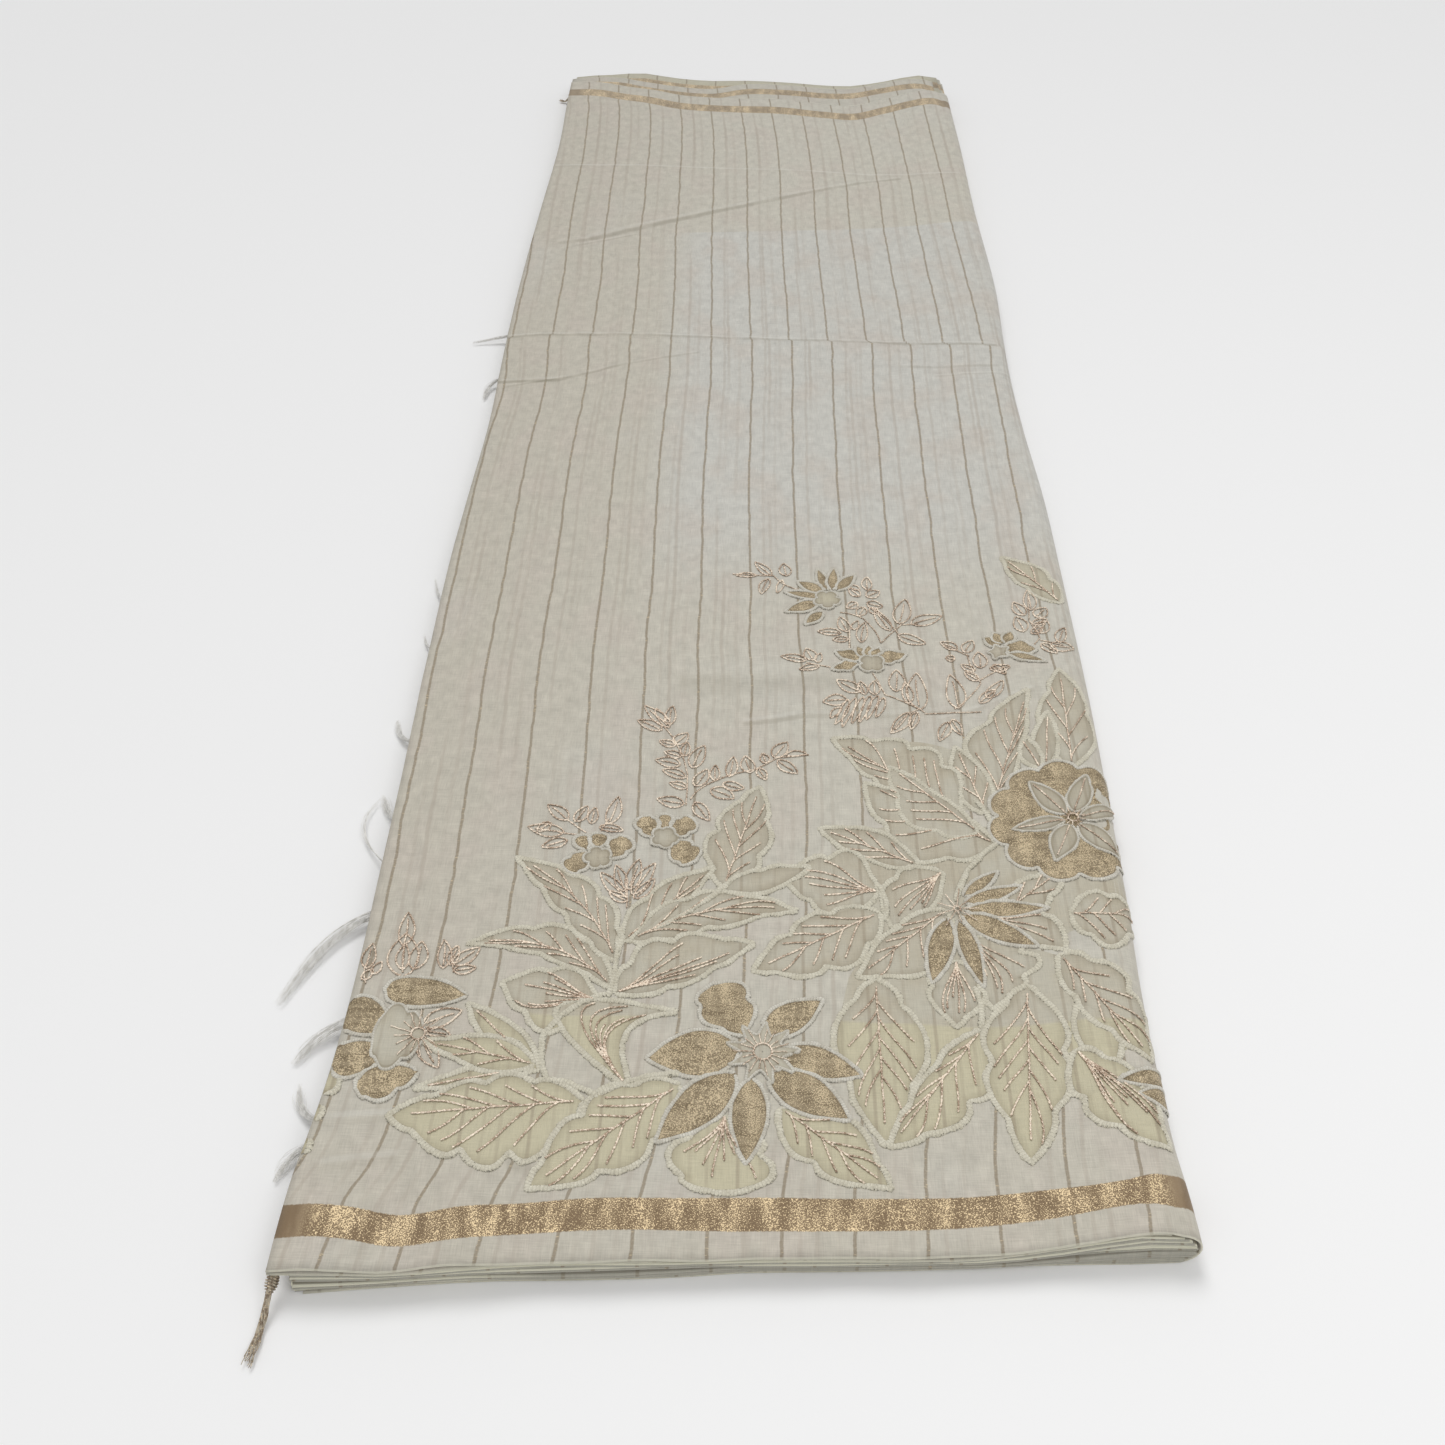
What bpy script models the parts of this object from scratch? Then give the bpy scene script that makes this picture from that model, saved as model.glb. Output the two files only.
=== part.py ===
"""A folded sari lying flat: one length of striped cloth with zari borders and applique, in 16 layers.

The top stretch rolls round the right-hand fold and comes back underneath. A second stretch lies just
below it, and the hidden layers share one rounded solid. The pallu's fringe and its two corner tassels
peep out at the left. +Y runs along the sari's width, from the near hem to the far one, and the origin
is the middle of the underside. Table rows are in millimetres, everything that is built is in metres.
"""
import math
from collections import namedtuple

import bmesh
import bpy
import numpy as np
from mathutils import Vector
from mathutils.geometry import delaunay_2d_cdt

MM = 0.001

# Driving sizes
WALL = 1.2
GAP = 0.35
FOLD_REACH = 9.0
TOP_RUN = 345.0
FOLD_RUN = 28.0
BOTTOM_RUN = 335.0
BOTTOM_LEFT = -170.0
CORD_WIDTH = 3.0
CORD_HEIGHT = 1.0
TISSUE_HEIGHT = 0.5

# Where the two long sides of the stack lie, along the sari's width
Side = namedtuple("Side", "y left right core_inset")
SIDES = [
    Side(-595, -182.0, 177.0, 9.0),
    Side(-571, -181.9, 177.3, 8.6),
    Side(-550, -181.0, 176.5, 7.6),
    Side(-528, -178.6, 174.8, 5.0),
    Side(-500, -176.4, 174.6, 4.0),
    Side(-456, -175.3, 175.2, 4.0),
    Side(-399, -176.0, 178.0, 4.0),
    Side(-336, -177.0, 180.0, 4.0),
    Side(-262, -179.0, 182.0, 4.0),
    Side(-158, -180.4, 182.6, 4.0),
    Side(-80, -179.0, 182.4, 4.0),
    Side(-9, -177.5, 179.6, 4.0),
    Side(60, -179.0, 178.6, 4.0),
    Side(117, -180.0, 179.8, 4.0),
    Side(191, -180.2, 182.4, 4.0),
    Side(319, -178.6, 180.0, 4.0),
    Side(438, -176.2, 180.0, 4.0),
    Side(535, -178.4, 178.8, 4.0),
    Side(620, -179.6, 178.0, 4.0),
]

# The hems across the stack: the near one, which all layers share, and the staggered far ones
Hem = namedtuple("Hem", "x near top second third")
HEMS = [
    Hem(-182, -590.2, 582, 594, 598),
    Hem(-165, -590.0, 580, 599, 603),
    Hem(-134, -589.0, 576, 602, 610),
    Hem(-112, -586.6, 571, 594, 616),
    Hem(-78, -584.0, 559, 584, 606),
    Hem(-45, -582.6, 555, 581, 601),
    Hem(-12, -580.9, 553, 594, 603),
    Hem(29, -579.4, 550, 592, 600),
    Hem(60, -578.4, 543, 586, 594),
    Hem(88, -577.2, 538, 585, 591),
    Hem(115, -574.6, 548, 592, 596),
    Hem(146, -573.4, 558, 595, 603),
    Hem(163, -572.4, 558, 586, 600),
    Hem(176, -572.0, 545, 568, 588),
]

# Where each hem's x is read, how far the wrap's far hem runs on under the fold and below the stack
NEAR_HEM_Y = -580.0
TOP_HEM_Y = 560.0
LOWER_HEM_Y = 590.0
FOLD_HEM_STEP = 12.0
BOTTOM_HEM_STEP = 22.0
BOTTOM_NEAR_STEP = 1.4
SECOND_NEAR_STEP = 0.8
SECOND_RIGHT_STEP = 4.0
SECOND_LEFT_STEP = 0.5

# Height of the top face above the surface, at the near hem, half way and at the far hem
Crown = namedtuple("Crown", "x near middle far")
CROWNS = [
    Crown(-182, 14.3, 13.0, 14.4),
    Crown(-165, 14.8, 13.2, 15.0),
    Crown(-130, 14.0, 12.8, 14.0),
    Crown(-70, 13.2, 12.2, 12.6),
    Crown(0, 12.2, 12.0, 11.6),
    Crown(45, 12.0, 12.4, 11.2),
    Crown(86, 11.2, 12.6, 11.6),
    Crown(117, 12.6, 13.6, 13.8),
    Crown(136, 15.2, 15.0, 16.0),
    Crown(151, 17.8, 16.6, 17.8),
    Crown(163, 18.6, 17.4, 18.6),
    Crown(182, 18.4, 17.4, 18.4),
]
NEAR_STATION = -590.0
FAR_STATION = 590.0
SWELL_HEIGHT = 0.35
SWELL_ALONG = 47.0
SWELL_ACROSS = 60.0

# Places where the top stretch lifts off the layers below
Ripple = namedtuple("Ripple", "x y reach_x reach_y lift")
RIPPLES = [
    Ripple(-170, -578, 9, 45, 1.0),
    Ripple(-150, -565, 8, 40, 0.8),
    Ripple(-112, -572, 17, 50, 1.3),
    Ripple(-60, -560, 22, 45, 0.6),
    Ripple(-150, 572, 20, 60, 1.8),
    Ripple(-95, 560, 18, 45, 1.1),
    Ripple(10, 550, 24, 40, 1.0),
]

# Sharp folds pressed into the top stretch, as low ridges
Crease = namedtuple("Crease", "x0 y0 x1 y1 width height")
CREASES = [
    Crease(-176, 112, 6, 107, 7, 0.6),
    Crease(6, 107, 166, 104, 7, 0.7),
    Crease(-150, 262, -40, 308, 9, 0.7),
    Crease(-40, 308, 66, 368, 9, 0.6),
    Crease(-172, 44, -60, 70, 8, 0.5),
    Crease(-174, -268, 20, -262, 16, 0.6),
    Crease(-4, -288, 28, -281, 5, 0.6),
    Crease(28, -281, 112, -276, 5, 0.5),
    Crease(-174, 396, 160, 392, 8, 0.5),
]

# Applique leaves of organza, each edged with a thick stitched cord, the lowest ones first
Leaf = namedtuple("Leaf", "base_x base_y tip_x tip_y width bend")
LEAVES = [
    Leaf(176, -170, 150, -144, 26, 0.10),
    Leaf(138, -292, 158, -250, 22, 0.06),
    Leaf(166, -294, 166, -240, 14, 0.00),
    Leaf(118, -342, 126, -280, 36, 0.04),
    Leaf(116, -350, 42, -298, 38, -0.10),
    Leaf(122, -372, 66, -322, 34, -0.12),
    Leaf(82, -380, 27, -360, 18, -0.04),
    Leaf(60, -396, 20, -391, 38, 0.00),
    Leaf(60, -404, 3, -443, 32, 0.07),
    Leaf(96, -404, 60, -386, 22, 0.00),
    Leaf(95, -406, 48, -446, 32, 0.06),
    Leaf(98, -415, 96, -473, 24, 0.00),
    Leaf(55, -448, 63, -512, 38, 0.04),
    Leaf(118, -442, 118, -540, 34, 0.02),
    Leaf(112, -468, 58, -530, 24, 0.07),
    Leaf(130, -425, 168, -480, 34, -0.05),
    Leaf(138, -480, 166, -532, 36, -0.04),
    Leaf(146, -398, 168, -440, 26, 0.05),
    Leaf(-14, -396, 3, -331, 22, -0.01),
    Leaf(-12, -398, 30, -384, 16, 0.05),
    Leaf(-55, -432, 22, -412, 23, 0.11),
    Leaf(-57, -430, -17, -386, 17, 0.06),
    Leaf(-59, -460, 0, -432, 30, 0.08),
    Leaf(-60, -443, -111, -384, 25, -0.09),
    Leaf(-60, -456, -125, -429, 21, -0.13),
    Leaf(-65, -465, -109, -443, 29, 0.12),
    Leaf(-50, -502, -83, -469, 40, -0.10),
    Leaf(-86, -497, -121, -467, 16, -0.03),
    Leaf(-86, -497, -137, -490, 17, -0.05),
    Leaf(-66, -506, -148, -521, 36, 0.13),
    Leaf(-26, -504, -88, -553, 39, 0.02),
    Leaf(-4, -512, -24, -556, 37, 0.00),
    Leaf(10, -508, 57, -547, 33, 0.00),
    Leaf(-50, -500, -31, -467, 15, -0.30),
]

# Petals of gold tissue, flower by flower
Petal = namedtuple("Petal", "base_x base_y tip_x tip_y width")
PETALS = [
    Petal(0, -487, -43, -491, 22),
    Petal(1, -477, -17, -451, 23),
    Petal(8, -476, 35, -450, 17),
    Petal(12, -485, 50, -497, 17),
    Petal(9, -496, 40, -518, 18),
    Petal(1, -498, 0, -541, 16),
    Petal(-5, -496, -38, -527, 20),
    Petal(-128, -462, -160, -460, 18),
    Petal(-151, -478, -172, -466, 18),
    Petal(-156, -488, -171, -500, 16),
    Petal(-149, -492, -152, -515, 22),
    Petal(102, -402, 140, -387, 8),
    Petal(102, -407, 138, -407, 9),
    Petal(102, -411, 135, -428, 12),
    Petal(97, -413, 103, -452, 11),
    Petal(93, -412, 84, -450, 9),
    Petal(-76, -379, -88, -389, 13),
    Petal(-76, -374, -76, -363, 12),
    Petal(-70, -377, -56, -377, 13),
    Petal(-45, -364, -55, -356, 12),
    Petal(-40, -363, -28, -356, 13),
    Petal(-40, -369, -30, -382, 14),
    Petal(42, -182, 22, -163, 10),
    Petal(42, -182, 40, -154, 10),
    Petal(44, -182, 58, -157, 10),
    Petal(42, -184, 22, -192, 10),
    Petal(65, -236, 48, -226, 10),
    Petal(65, -236, 65, -220, 12),
    Petal(67, -236, 84, -228, 10),
    Petal(143, -230, 132, -213, 10),
    Petal(143, -230, 154, -216, 10),
]

# The round gold flower at the right, and the star sewn over it
Blossom = namedtuple("Blossom", "x y radius petals petal_width first_angle")
BLOSSOMS = [
    Blossom(150, -348, 37, 7, 34, 40),
    Blossom(158, -350, 25, 6, 11, 18),
]
FOLD_MARGIN = 3.0

# Tufts of the pallu's fringe: where each leaves the strip, how far out it turns and where it ends
Tuft = namedtuple("Tuft", "root_y knee tip_x tip_y strands")
TUFTS = [
    Tuft(123, 16, -208, 118, 5),
    Tuft(64, 11, -188, 40, 4),
    Tuft(-180, 7, -190, -157, 3),
    Tuft(-224, 6, -188, -207, 3),
    Tuft(-300, 6, -189, -284, 4),
    Tuft(-346, 17, -192, -383, 6),
    Tuft(-416, 22, -206, -461, 9),
    Tuft(-475, 10, -198, -490, 8),
    Tuft(-514, 8, -194, -500, 5),
    Tuft(-534, 8, -193, -547, 5),
]
STRAND_SPACING = 1.15
UNEVEN_ENDS = 0.07

# The strips parted from the pallu's edge that hold the tufts' roots
Strip = namedtuple("Strip", "name first last")
STRIPS = [
    Strip("near_fringe", -545, -402),
    Strip("middle_fringe", -362, -174),
    Strip("far_fringe", 54, 132),
]
STRIP_WIDTH = 2.0
STRIP_THICK = 1.4
STRIP_HEIGHT = 5.6
STRAND_RADIUS = 0.4
STRAND_FLOOR = 0.8
STRAND_STEPS = 5
STRAND_DROP = 0.45
TASSEL_DROP = 0.6
TASSEL_FLARE = 2.2
TASSEL_STEP = 1.1

# Columns and rows that every layer shares, so that layers bend alike and keep their gap
COLUMNS = [0, 15, 40, 65, 90, 115, 140, 165, 190, 215, 240, 260, 276, 290, 302, 314, 325, 335, 345]
HEM_COLUMNS = [7, 27, 52, 77, 102, 127, 152, 177, 202, 227, 250]
RIPPLE_COLUMNS = [27.0, 52.0, 77.0, 102.0, 127.0]
RIPPLE_ROWS = [-572.0, -552.0, -525.0]
RIPPLE_SPACING = 6.0
CREASE_STEP = 14.0
ROW_STEP = 58.0
FOLD_STEPS = 8
BOTTOM_STEPS = 10
SIDE_STEP = 29.0
MIN_SPACING = 1.3
PLAIN_GRID = 23.0
WORKED_GRID = 12.0
WORKED_LIMIT = -130.0

CREAM = (0.72, 0.69, 0.60, 1.0)
SHADED_CREAM = (0.62, 0.60, 0.52, 1.0)
LAYER_CREAM = (0.66, 0.65, 0.52, 1.0)
FRINGE_GREY = (0.58, 0.57, 0.52, 1.0)
TASSEL_GOLD = (0.55, 0.38, 0.20, 1.0)


def start_scene():
    """Clear the file and make the collections for the part and for what is only joined into it."""
    for old in list(bpy.data.objects):
        bpy.data.objects.remove(old, do_unlink=True)
    part = bpy.data.collections.new("folded_sari")
    joined = bpy.data.collections.new("joined_pieces")
    bpy.context.scene.collection.children.link(part)
    bpy.context.scene.collection.children.link(joined)
    return part, joined


def finish_material(name, colour, roughness, metallic=0.0):
    """A Principled material of one colour."""
    material = bpy.data.materials.new(name)
    material.use_nodes = True
    shader = material.node_tree.nodes["Principled BSDF"]
    shader.inputs["Base Color"].default_value = colour
    shader.inputs["Roughness"].default_value = roughness
    shader.inputs["Metallic"].default_value = metallic
    material.diffuse_color = colour
    return material


def curve_through(rows, column, at):
    """Value at one place of the smooth curve through a table's column, keyed by its first column."""
    keys = [row[0] for row in rows]
    values = [getattr(row, column) for row in rows]
    if at <= keys[0]:
        return values[0]
    if at >= keys[-1]:
        return values[-1]
    i = max(k for k in range(len(keys) - 1) if keys[k] <= at)
    span = keys[i + 1] - keys[i]
    t = (at - keys[i]) / span
    before = i - 1 if i > 0 else i
    after = i + 2 if i + 2 < len(keys) else i + 1
    slope_in = (values[i + 1] - values[before]) / (keys[i + 1] - keys[before]) * span
    slope_out = (values[after] - values[i]) / (keys[after] - keys[i]) * span
    t2, t3 = t * t, t * t * t
    return ((2 * t3 - 3 * t2 + 1) * values[i] + (t3 - 2 * t2 + t) * slope_in
            + (3 * t2 - 2 * t3) * values[i + 1] + (t3 - t2) * slope_out)


def left_edge(y):
    return curve_through(SIDES, "left", y)


def fold_start(y):
    """Where the flat top ends and the right-hand fold begins."""
    return curve_through(SIDES, "right", y) - FOLD_REACH


def core_left(y):
    """Left side of the hidden layers, below the overhang."""
    return left_edge(y) + curve_through(SIDES, "core_inset", y)


def crown(x, y):
    """Height of the stack's top face."""
    t = (y - NEAR_STATION) / (FAR_STATION - NEAR_STATION)
    near = curve_through(CROWNS, "near", x)
    middle = curve_through(CROWNS, "middle", x)
    far = curve_through(CROWNS, "far", x)
    end_share = (2 * t - 1) ** 2
    end = near if t < 0.5 else far
    swell = SWELL_HEIGHT * math.sin(y / SWELL_ALONG + x / SWELL_ACROSS)
    return middle + (end - middle) * end_share + swell


def ripple_lift(x, y):
    """How far the top stretch stands off the layer below."""
    lift = 0.0
    for row in RIPPLES:
        away = ((x - row.x) / row.reach_x) ** 2 + ((y - row.y) / row.reach_y) ** 2
        lift += row.lift * math.exp(-away)
    return lift


def across(s, y):
    """The x of a place on the flat top, from its distance s along the wrap."""
    left = left_edge(y)
    return left + (fold_start(y) - left) * s / TOP_RUN


def along(x, y):
    """The distance along the wrap of a place x on the flat top."""
    left = left_edge(y)
    return (x - left) / (fold_start(y) - left) * TOP_RUN


def wrap_point(s, y, inside, raised=0.0):
    """A point of the outermost stretch: over the top, round the fold and back underneath."""
    depth = WALL if inside else 0.0
    if s <= TOP_RUN:
        x = across(s, y)
        return Vector((x, y, crown(x, y) + ripple_lift(x, y) - depth + raised)) * MM
    start = fold_start(y)
    half = 0.5 * (crown(start, y) + ripple_lift(start, y))
    if s <= TOP_RUN + FOLD_RUN:
        turn = math.pi * (s - TOP_RUN) / FOLD_RUN
        x = start + (FOLD_REACH - depth) * math.sin(turn)
        z = half + (half - depth) * math.cos(turn)
        return Vector((x, y, z)) * MM
    x = start + (BOTTOM_LEFT - start) * (s - TOP_RUN - FOLD_RUN) / BOTTOM_RUN
    return Vector((x, y, depth)) * MM


def shape_outline(row, bend, pointed, count):
    """Closed outline of a leaf or petal from its base to its tip and back, in millimetres."""
    base = np.array([row.base_x, row.base_y], float)
    tip = np.array([row.tip_x, row.tip_y], float)
    axis = tip - base
    side = np.array([-axis[1], axis[0]])
    side = side / np.linalg.norm(side)
    length = np.linalg.norm(axis)
    fullness = 0.85 if pointed else 0.55
    shift = 0.8 if pointed else 1.25
    outline = []
    for sign, steps in ((1.0, range(count)), (-1.0, range(count, 0, -1))):
        for k in steps:
            t = k / count
            half = 0.5 * row.width * math.sin(math.pi * t ** shift) ** fullness
            bow = bend * length * 4 * t * (1 - t)
            outline.append(base + axis * t + side * (bow + sign * half))
    return np.array(outline)


def motif_outlines():
    """Every applique outline with the height of what it encloses, the lowest first."""
    motifs = []
    for leaf in LEAVES:
        motifs.append((shape_outline(leaf, leaf.bend, True, 7), 0.0))
    for blossom in BLOSSOMS:
        for k in range(blossom.petals):
            turn = math.radians(blossom.first_angle + 360.0 * k / blossom.petals)
            tip_x = blossom.x + blossom.radius * math.cos(turn)
            tip_y = blossom.y + blossom.radius * math.sin(turn)
            petal = Petal(blossom.x, blossom.y, tip_x, tip_y, blossom.petal_width)
            rounded = blossom.petal_width > 20
            motifs.append((shape_outline(petal, 0.0, not rounded, 5), TISSUE_HEIGHT))
    for petal in PETALS:
        steps = 5 if petal.width > 14 else 4
        motifs.append((shape_outline(petal, 0.0, True, steps), TISSUE_HEIGHT))
    return motifs


def outline_distance(outline, point):
    """Distance from a point to a closed outline, positive inside it."""
    start = outline
    end = np.roll(outline, -1, axis=0)
    edge = end - start
    to_point = point - start
    share = np.clip((to_point * edge).sum(1) / (edge * edge).sum(1), 0, 1)
    nearest = np.hypot(*(to_point - edge * share[:, None]).T).min()
    crosses = (start[:, 1] > point[1]) != (end[:, 1] > point[1])
    safe = np.where(edge[:, 1] == 0, 1e-9, edge[:, 1])
    cut = start[:, 0] + (point[1] - start[:, 1]) / safe * edge[:, 0]
    inside = np.count_nonzero(crosses & (point[0] < cut)) % 2 == 1
    return nearest if inside else -nearest


def applique_relief(motifs, point):
    """Height of the applique at a point, and the motif on top there."""
    for index in range(len(motifs) - 1, -1, -1):
        outline, inner_height = motifs[index]
        if (outline.min(0) - CORD_WIDTH > point).any() or (outline.max(0) + CORD_WIDTH < point).any():
            continue
        distance = outline_distance(outline, point)
        if abs(distance) < 0.5 * CORD_WIDTH:
            cord = CORD_HEIGHT * (1 - (2 * distance / CORD_WIDTH) ** 2)
            return max(cord, inner_height if distance > 0 else 0.0), index
        if distance > 0:
            return inner_height, index
    return 0.0, -1


def crease_relief(x, y):
    """Height of the pressed folds at a place."""
    height = 0.0
    for row in CREASES:
        dx, dy = row.x1 - row.x0, row.y1 - row.y0
        share = min(max(((x - row.x0) * dx + (y - row.y0) * dy) / (dx * dx + dy * dy), 0), 1)
        away = math.hypot(x - row.x0 - share * dx, y - row.y0 - share * dy)
        height = max(height, row.height * max(0.0, 1 - away / row.width))
    return height


def hem_line(column, x):
    return curve_through(HEMS, column, x)


def side_rows(first, last, step):
    """Places between two hems at about one spacing, without the ends."""
    count = max(1, round((last - first) / step))
    return [first + (last - first) * k / count for k in range(1, count)]


def wrap_columns():
    """Distances along the wrap where its hems have a point."""
    fold = [TOP_RUN + FOLD_RUN * k / FOLD_STEPS for k in range(1, FOLD_STEPS + 1)]
    bottom = [TOP_RUN + FOLD_RUN + BOTTOM_RUN * k / BOTTOM_STEPS for k in range(1, BOTTOM_STEPS + 1)]
    return sorted(COLUMNS + HEM_COLUMNS) + fold + bottom


def wrap_hem(s, near):
    """The y of the wrap's near or far hem at a distance along it."""
    middle = NEAR_HEM_Y if near else TOP_HEM_Y
    x = across(min(s, TOP_RUN), middle)
    if s <= TOP_RUN:
        return hem_line("near" if near else "top", x)
    if s <= TOP_RUN + FOLD_RUN:
        turn = (s - TOP_RUN) / FOLD_RUN
        first = hem_line("near" if near else "top", x)
        return first + (0.0 if near else FOLD_HEM_STEP * turn)
    back = (s - TOP_RUN - FOLD_RUN) / BOTTOM_RUN
    x = fold_start(middle) + (BOTTOM_LEFT - fold_start(middle)) * back
    if near:
        return hem_line("near", x) - BOTTOM_NEAR_STEP * math.sin(math.pi * back)
    return wrap_hem(TOP_RUN + FOLD_RUN, False) + BOTTOM_HEM_STEP * back


def triangulate(points, ring_count, lines):
    """Delaunay triangles of plane points inside their first ring_count points, taken as the ring."""
    flat = [Vector((p[0], p[1])) for p in points]
    ring = list(range(ring_count))
    result = delaunay_2d_cdt(flat, lines, [ring], 0, 1e-5, True)
    origin = [ids[0] for ids in result[3]]
    if len(result[0]) != len(points):
        raise ValueError("the outline crosses itself or points coincide")
    within = [face for face, ring_ids in zip(result[2], result[5]) if ring_ids]
    return [[origin[v] for v in face] for face in within]


def column_lines(points, columns, tolerance=1e-6):
    """Edges that join the points of each column, so that no triangle spans one."""
    lines = []
    for s in columns:
        members = [i for i, p in enumerate(points) if abs(p[0] - s) < tolerance]
        members.sort(key=lambda i: points[i][1])
        lines += list(zip(members[:-1], members[1:]))
    return lines


def thin_out(points, kept, spacing):
    """Add to kept the points that lie at least a spacing from all before them."""
    cells = {}
    for p in kept:
        cells.setdefault((int(p[0] // spacing), int(p[1] // spacing)), []).append(p)
    added = []
    for p in points:
        cx, cy = int(p[0] // spacing), int(p[1] // spacing)
        close = (q for i in (-1, 0, 1) for j in (-1, 0, 1) for q in cells.get((cx + i, cy + j), []))
        if all(math.hypot(p[0] - q[0], p[1] - q[1]) >= spacing for q in close):
            cells.setdefault((cx, cy), []).append(p)
            added.append(p)
    return added


def relief_points(motifs):
    """Places on the flat top that carry the applique's cords: crest, outer foot and inner foot."""
    places = []
    for index, (outline, _) in enumerate(motifs):
        before = np.roll(outline, 1, axis=0)
        after = np.roll(outline, -1, axis=0)
        tangent = after - before
        normal = np.stack([tangent[:, 1], -tangent[:, 0]], 1)
        normal /= np.maximum(np.hypot(normal[:, 0], normal[:, 1]), 1e-6)[:, None]
        for reach in (0.0, 0.55 * CORD_WIDTH, -0.55 * CORD_WIDTH):
            for point in outline + normal * reach:
                top = applique_relief(motifs, point)[1]
                if top == index or (top < index and reach != 0.0):
                    places.append((float(point[0]), float(point[1])))
    return places


def crease_points():
    """Places on the flat top that carry the pressed folds."""
    places = []
    for row in CREASES:
        dx, dy = row.x1 - row.x0, row.y1 - row.y0
        length = math.hypot(dx, dy)
        for reach in (0.0, row.width, -row.width):
            for k in range(int(length / CREASE_STEP) + 1):
                along_it = k * CREASE_STEP / length
                places.append((row.x0 + dx * along_it - dy / length * reach,
                               row.y0 + dy * along_it + dx / length * reach))
    return places


def inside_top(x, y, margin):
    """Whether a place lies on the flat top, a margin in from its edges."""
    near = hem_line("near", x) + margin
    far = hem_line("top", x) - margin
    return left_edge(y) + margin < x < fold_start(y) - margin and near < y < far


def top_face_points(motifs):
    """Places of the flat top's outer face: the relief, the folds and a plain grid between."""
    wanted = [p for p in relief_points(motifs) + crease_points() if inside_top(*p, FOLD_MARGIN)]
    placed = thin_out(wanted, [], MIN_SPACING)
    grids = ((WORKED_GRID, SIDES[0].y, WORKED_LIMIT), (PLAIN_GRID, WORKED_LIMIT, SIDES[-1].y))
    for step, first, last in grids:
        for j in range(int((last - first) / step)):
            y = first + (j + 0.5) * step
            start = left_edge(y) + 0.5 * step * (j % 2)
            grid = [(start + i * step, y) for i in range(int(TOP_RUN / step) + 2)]
            grid = [p for p in grid if inside_top(*p, 0.35 * step)]
            placed += thin_out(grid, placed, 0.55 * step)
    return placed


def closed_wall(outer, inner, outer_faces, inner_faces, ring_count):
    """Mesh of a wall between two faces that share the ring of points round them."""
    shell = bmesh.new()
    top = [shell.verts.new(p) for p in outer]
    under = [shell.verts.new(p) for p in inner]
    for face in outer_faces:
        shell.faces.new([top[i] for i in face])
    for face in inner_faces:
        shell.faces.new([under[i] for i in reversed(face)])
    for i in range(ring_count):
        j = (i + 1) % ring_count
        shell.faces.new([top[j], top[i], under[i], under[j]])
    bmesh.ops.triangulate(shell, faces=[f for f in shell.faces if len(f.verts) > 3])
    return shell


def place(shell, name, collection, material):
    """Turn a bmesh into a named object of the part."""
    mesh = bpy.data.meshes.new(name)
    shell.to_mesh(mesh)
    shell.free()
    mesh.materials.append(material)
    mesh.shade_smooth()
    mesh.set_sharp_from_angle(angle=math.radians(50))
    piece = bpy.data.objects.new(name, mesh)
    collection.objects.link(piece)
    return piece


def make_top_layer(collection, material):
    """The outermost stretch, with the applique raised on its outside and a plain inside."""
    columns = wrap_columns()
    ring = [(s, wrap_hem(s, True)) for s in columns]
    last = columns[-1]
    ring += [(last, y) for y in side_rows(wrap_hem(last, True), wrap_hem(last, False), ROW_STEP)]
    ring += [(s, wrap_hem(s, False)) for s in reversed(columns)]
    left = side_rows(wrap_hem(0, True), wrap_hem(0, False), SIDE_STEP)
    ring += [(0.0, y) for y in reversed(left)]

    fold_lines = [s for s in columns if TOP_RUN <= s <= TOP_RUN + FOLD_RUN]
    fold_points = []
    for s in fold_lines:
        fold_points += [(s, y) for y in side_rows(wrap_hem(s, True), wrap_hem(s, False), ROW_STEP)]

    motifs = motif_outlines()
    top_places = top_face_points(motifs)
    outer_plan = ring + fold_points + [(along(x, y), y) for x, y in top_places]
    outer_faces = triangulate(outer_plan, len(ring), column_lines(outer_plan, fold_lines))
    raised = [0.0] * (len(ring) + len(fold_points))
    for x, y in top_places:
        raised.append(max(applique_relief(motifs, np.array([x, y]))[0], crease_relief(x, y)))
    outer = [wrap_point(s, y, False, h) for (s, y), h in zip(outer_plan, raised)]

    inner_plan = list(ring) + fold_points
    for s in COLUMNS[1:-1]:
        rows = side_rows(wrap_hem(s, True), wrap_hem(s, False), ROW_STEP)
        inner_plan += [(s, y) for y in rows]
    rippled = [(s, y) for y in RIPPLE_ROWS for s in RIPPLE_COLUMNS]
    inner_plan += thin_out(rippled, inner_plan, RIPPLE_SPACING)
    inner_lines = column_lines(inner_plan, COLUMNS[1:-1] + fold_lines)
    inner_faces = triangulate(inner_plan, len(ring), inner_lines)
    inner = [wrap_point(s, y, True) for s, y in inner_plan]
    shell = closed_wall(outer, inner, outer_faces, inner_faces, len(ring))
    return place(shell, "top_layer", collection, material)


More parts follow.
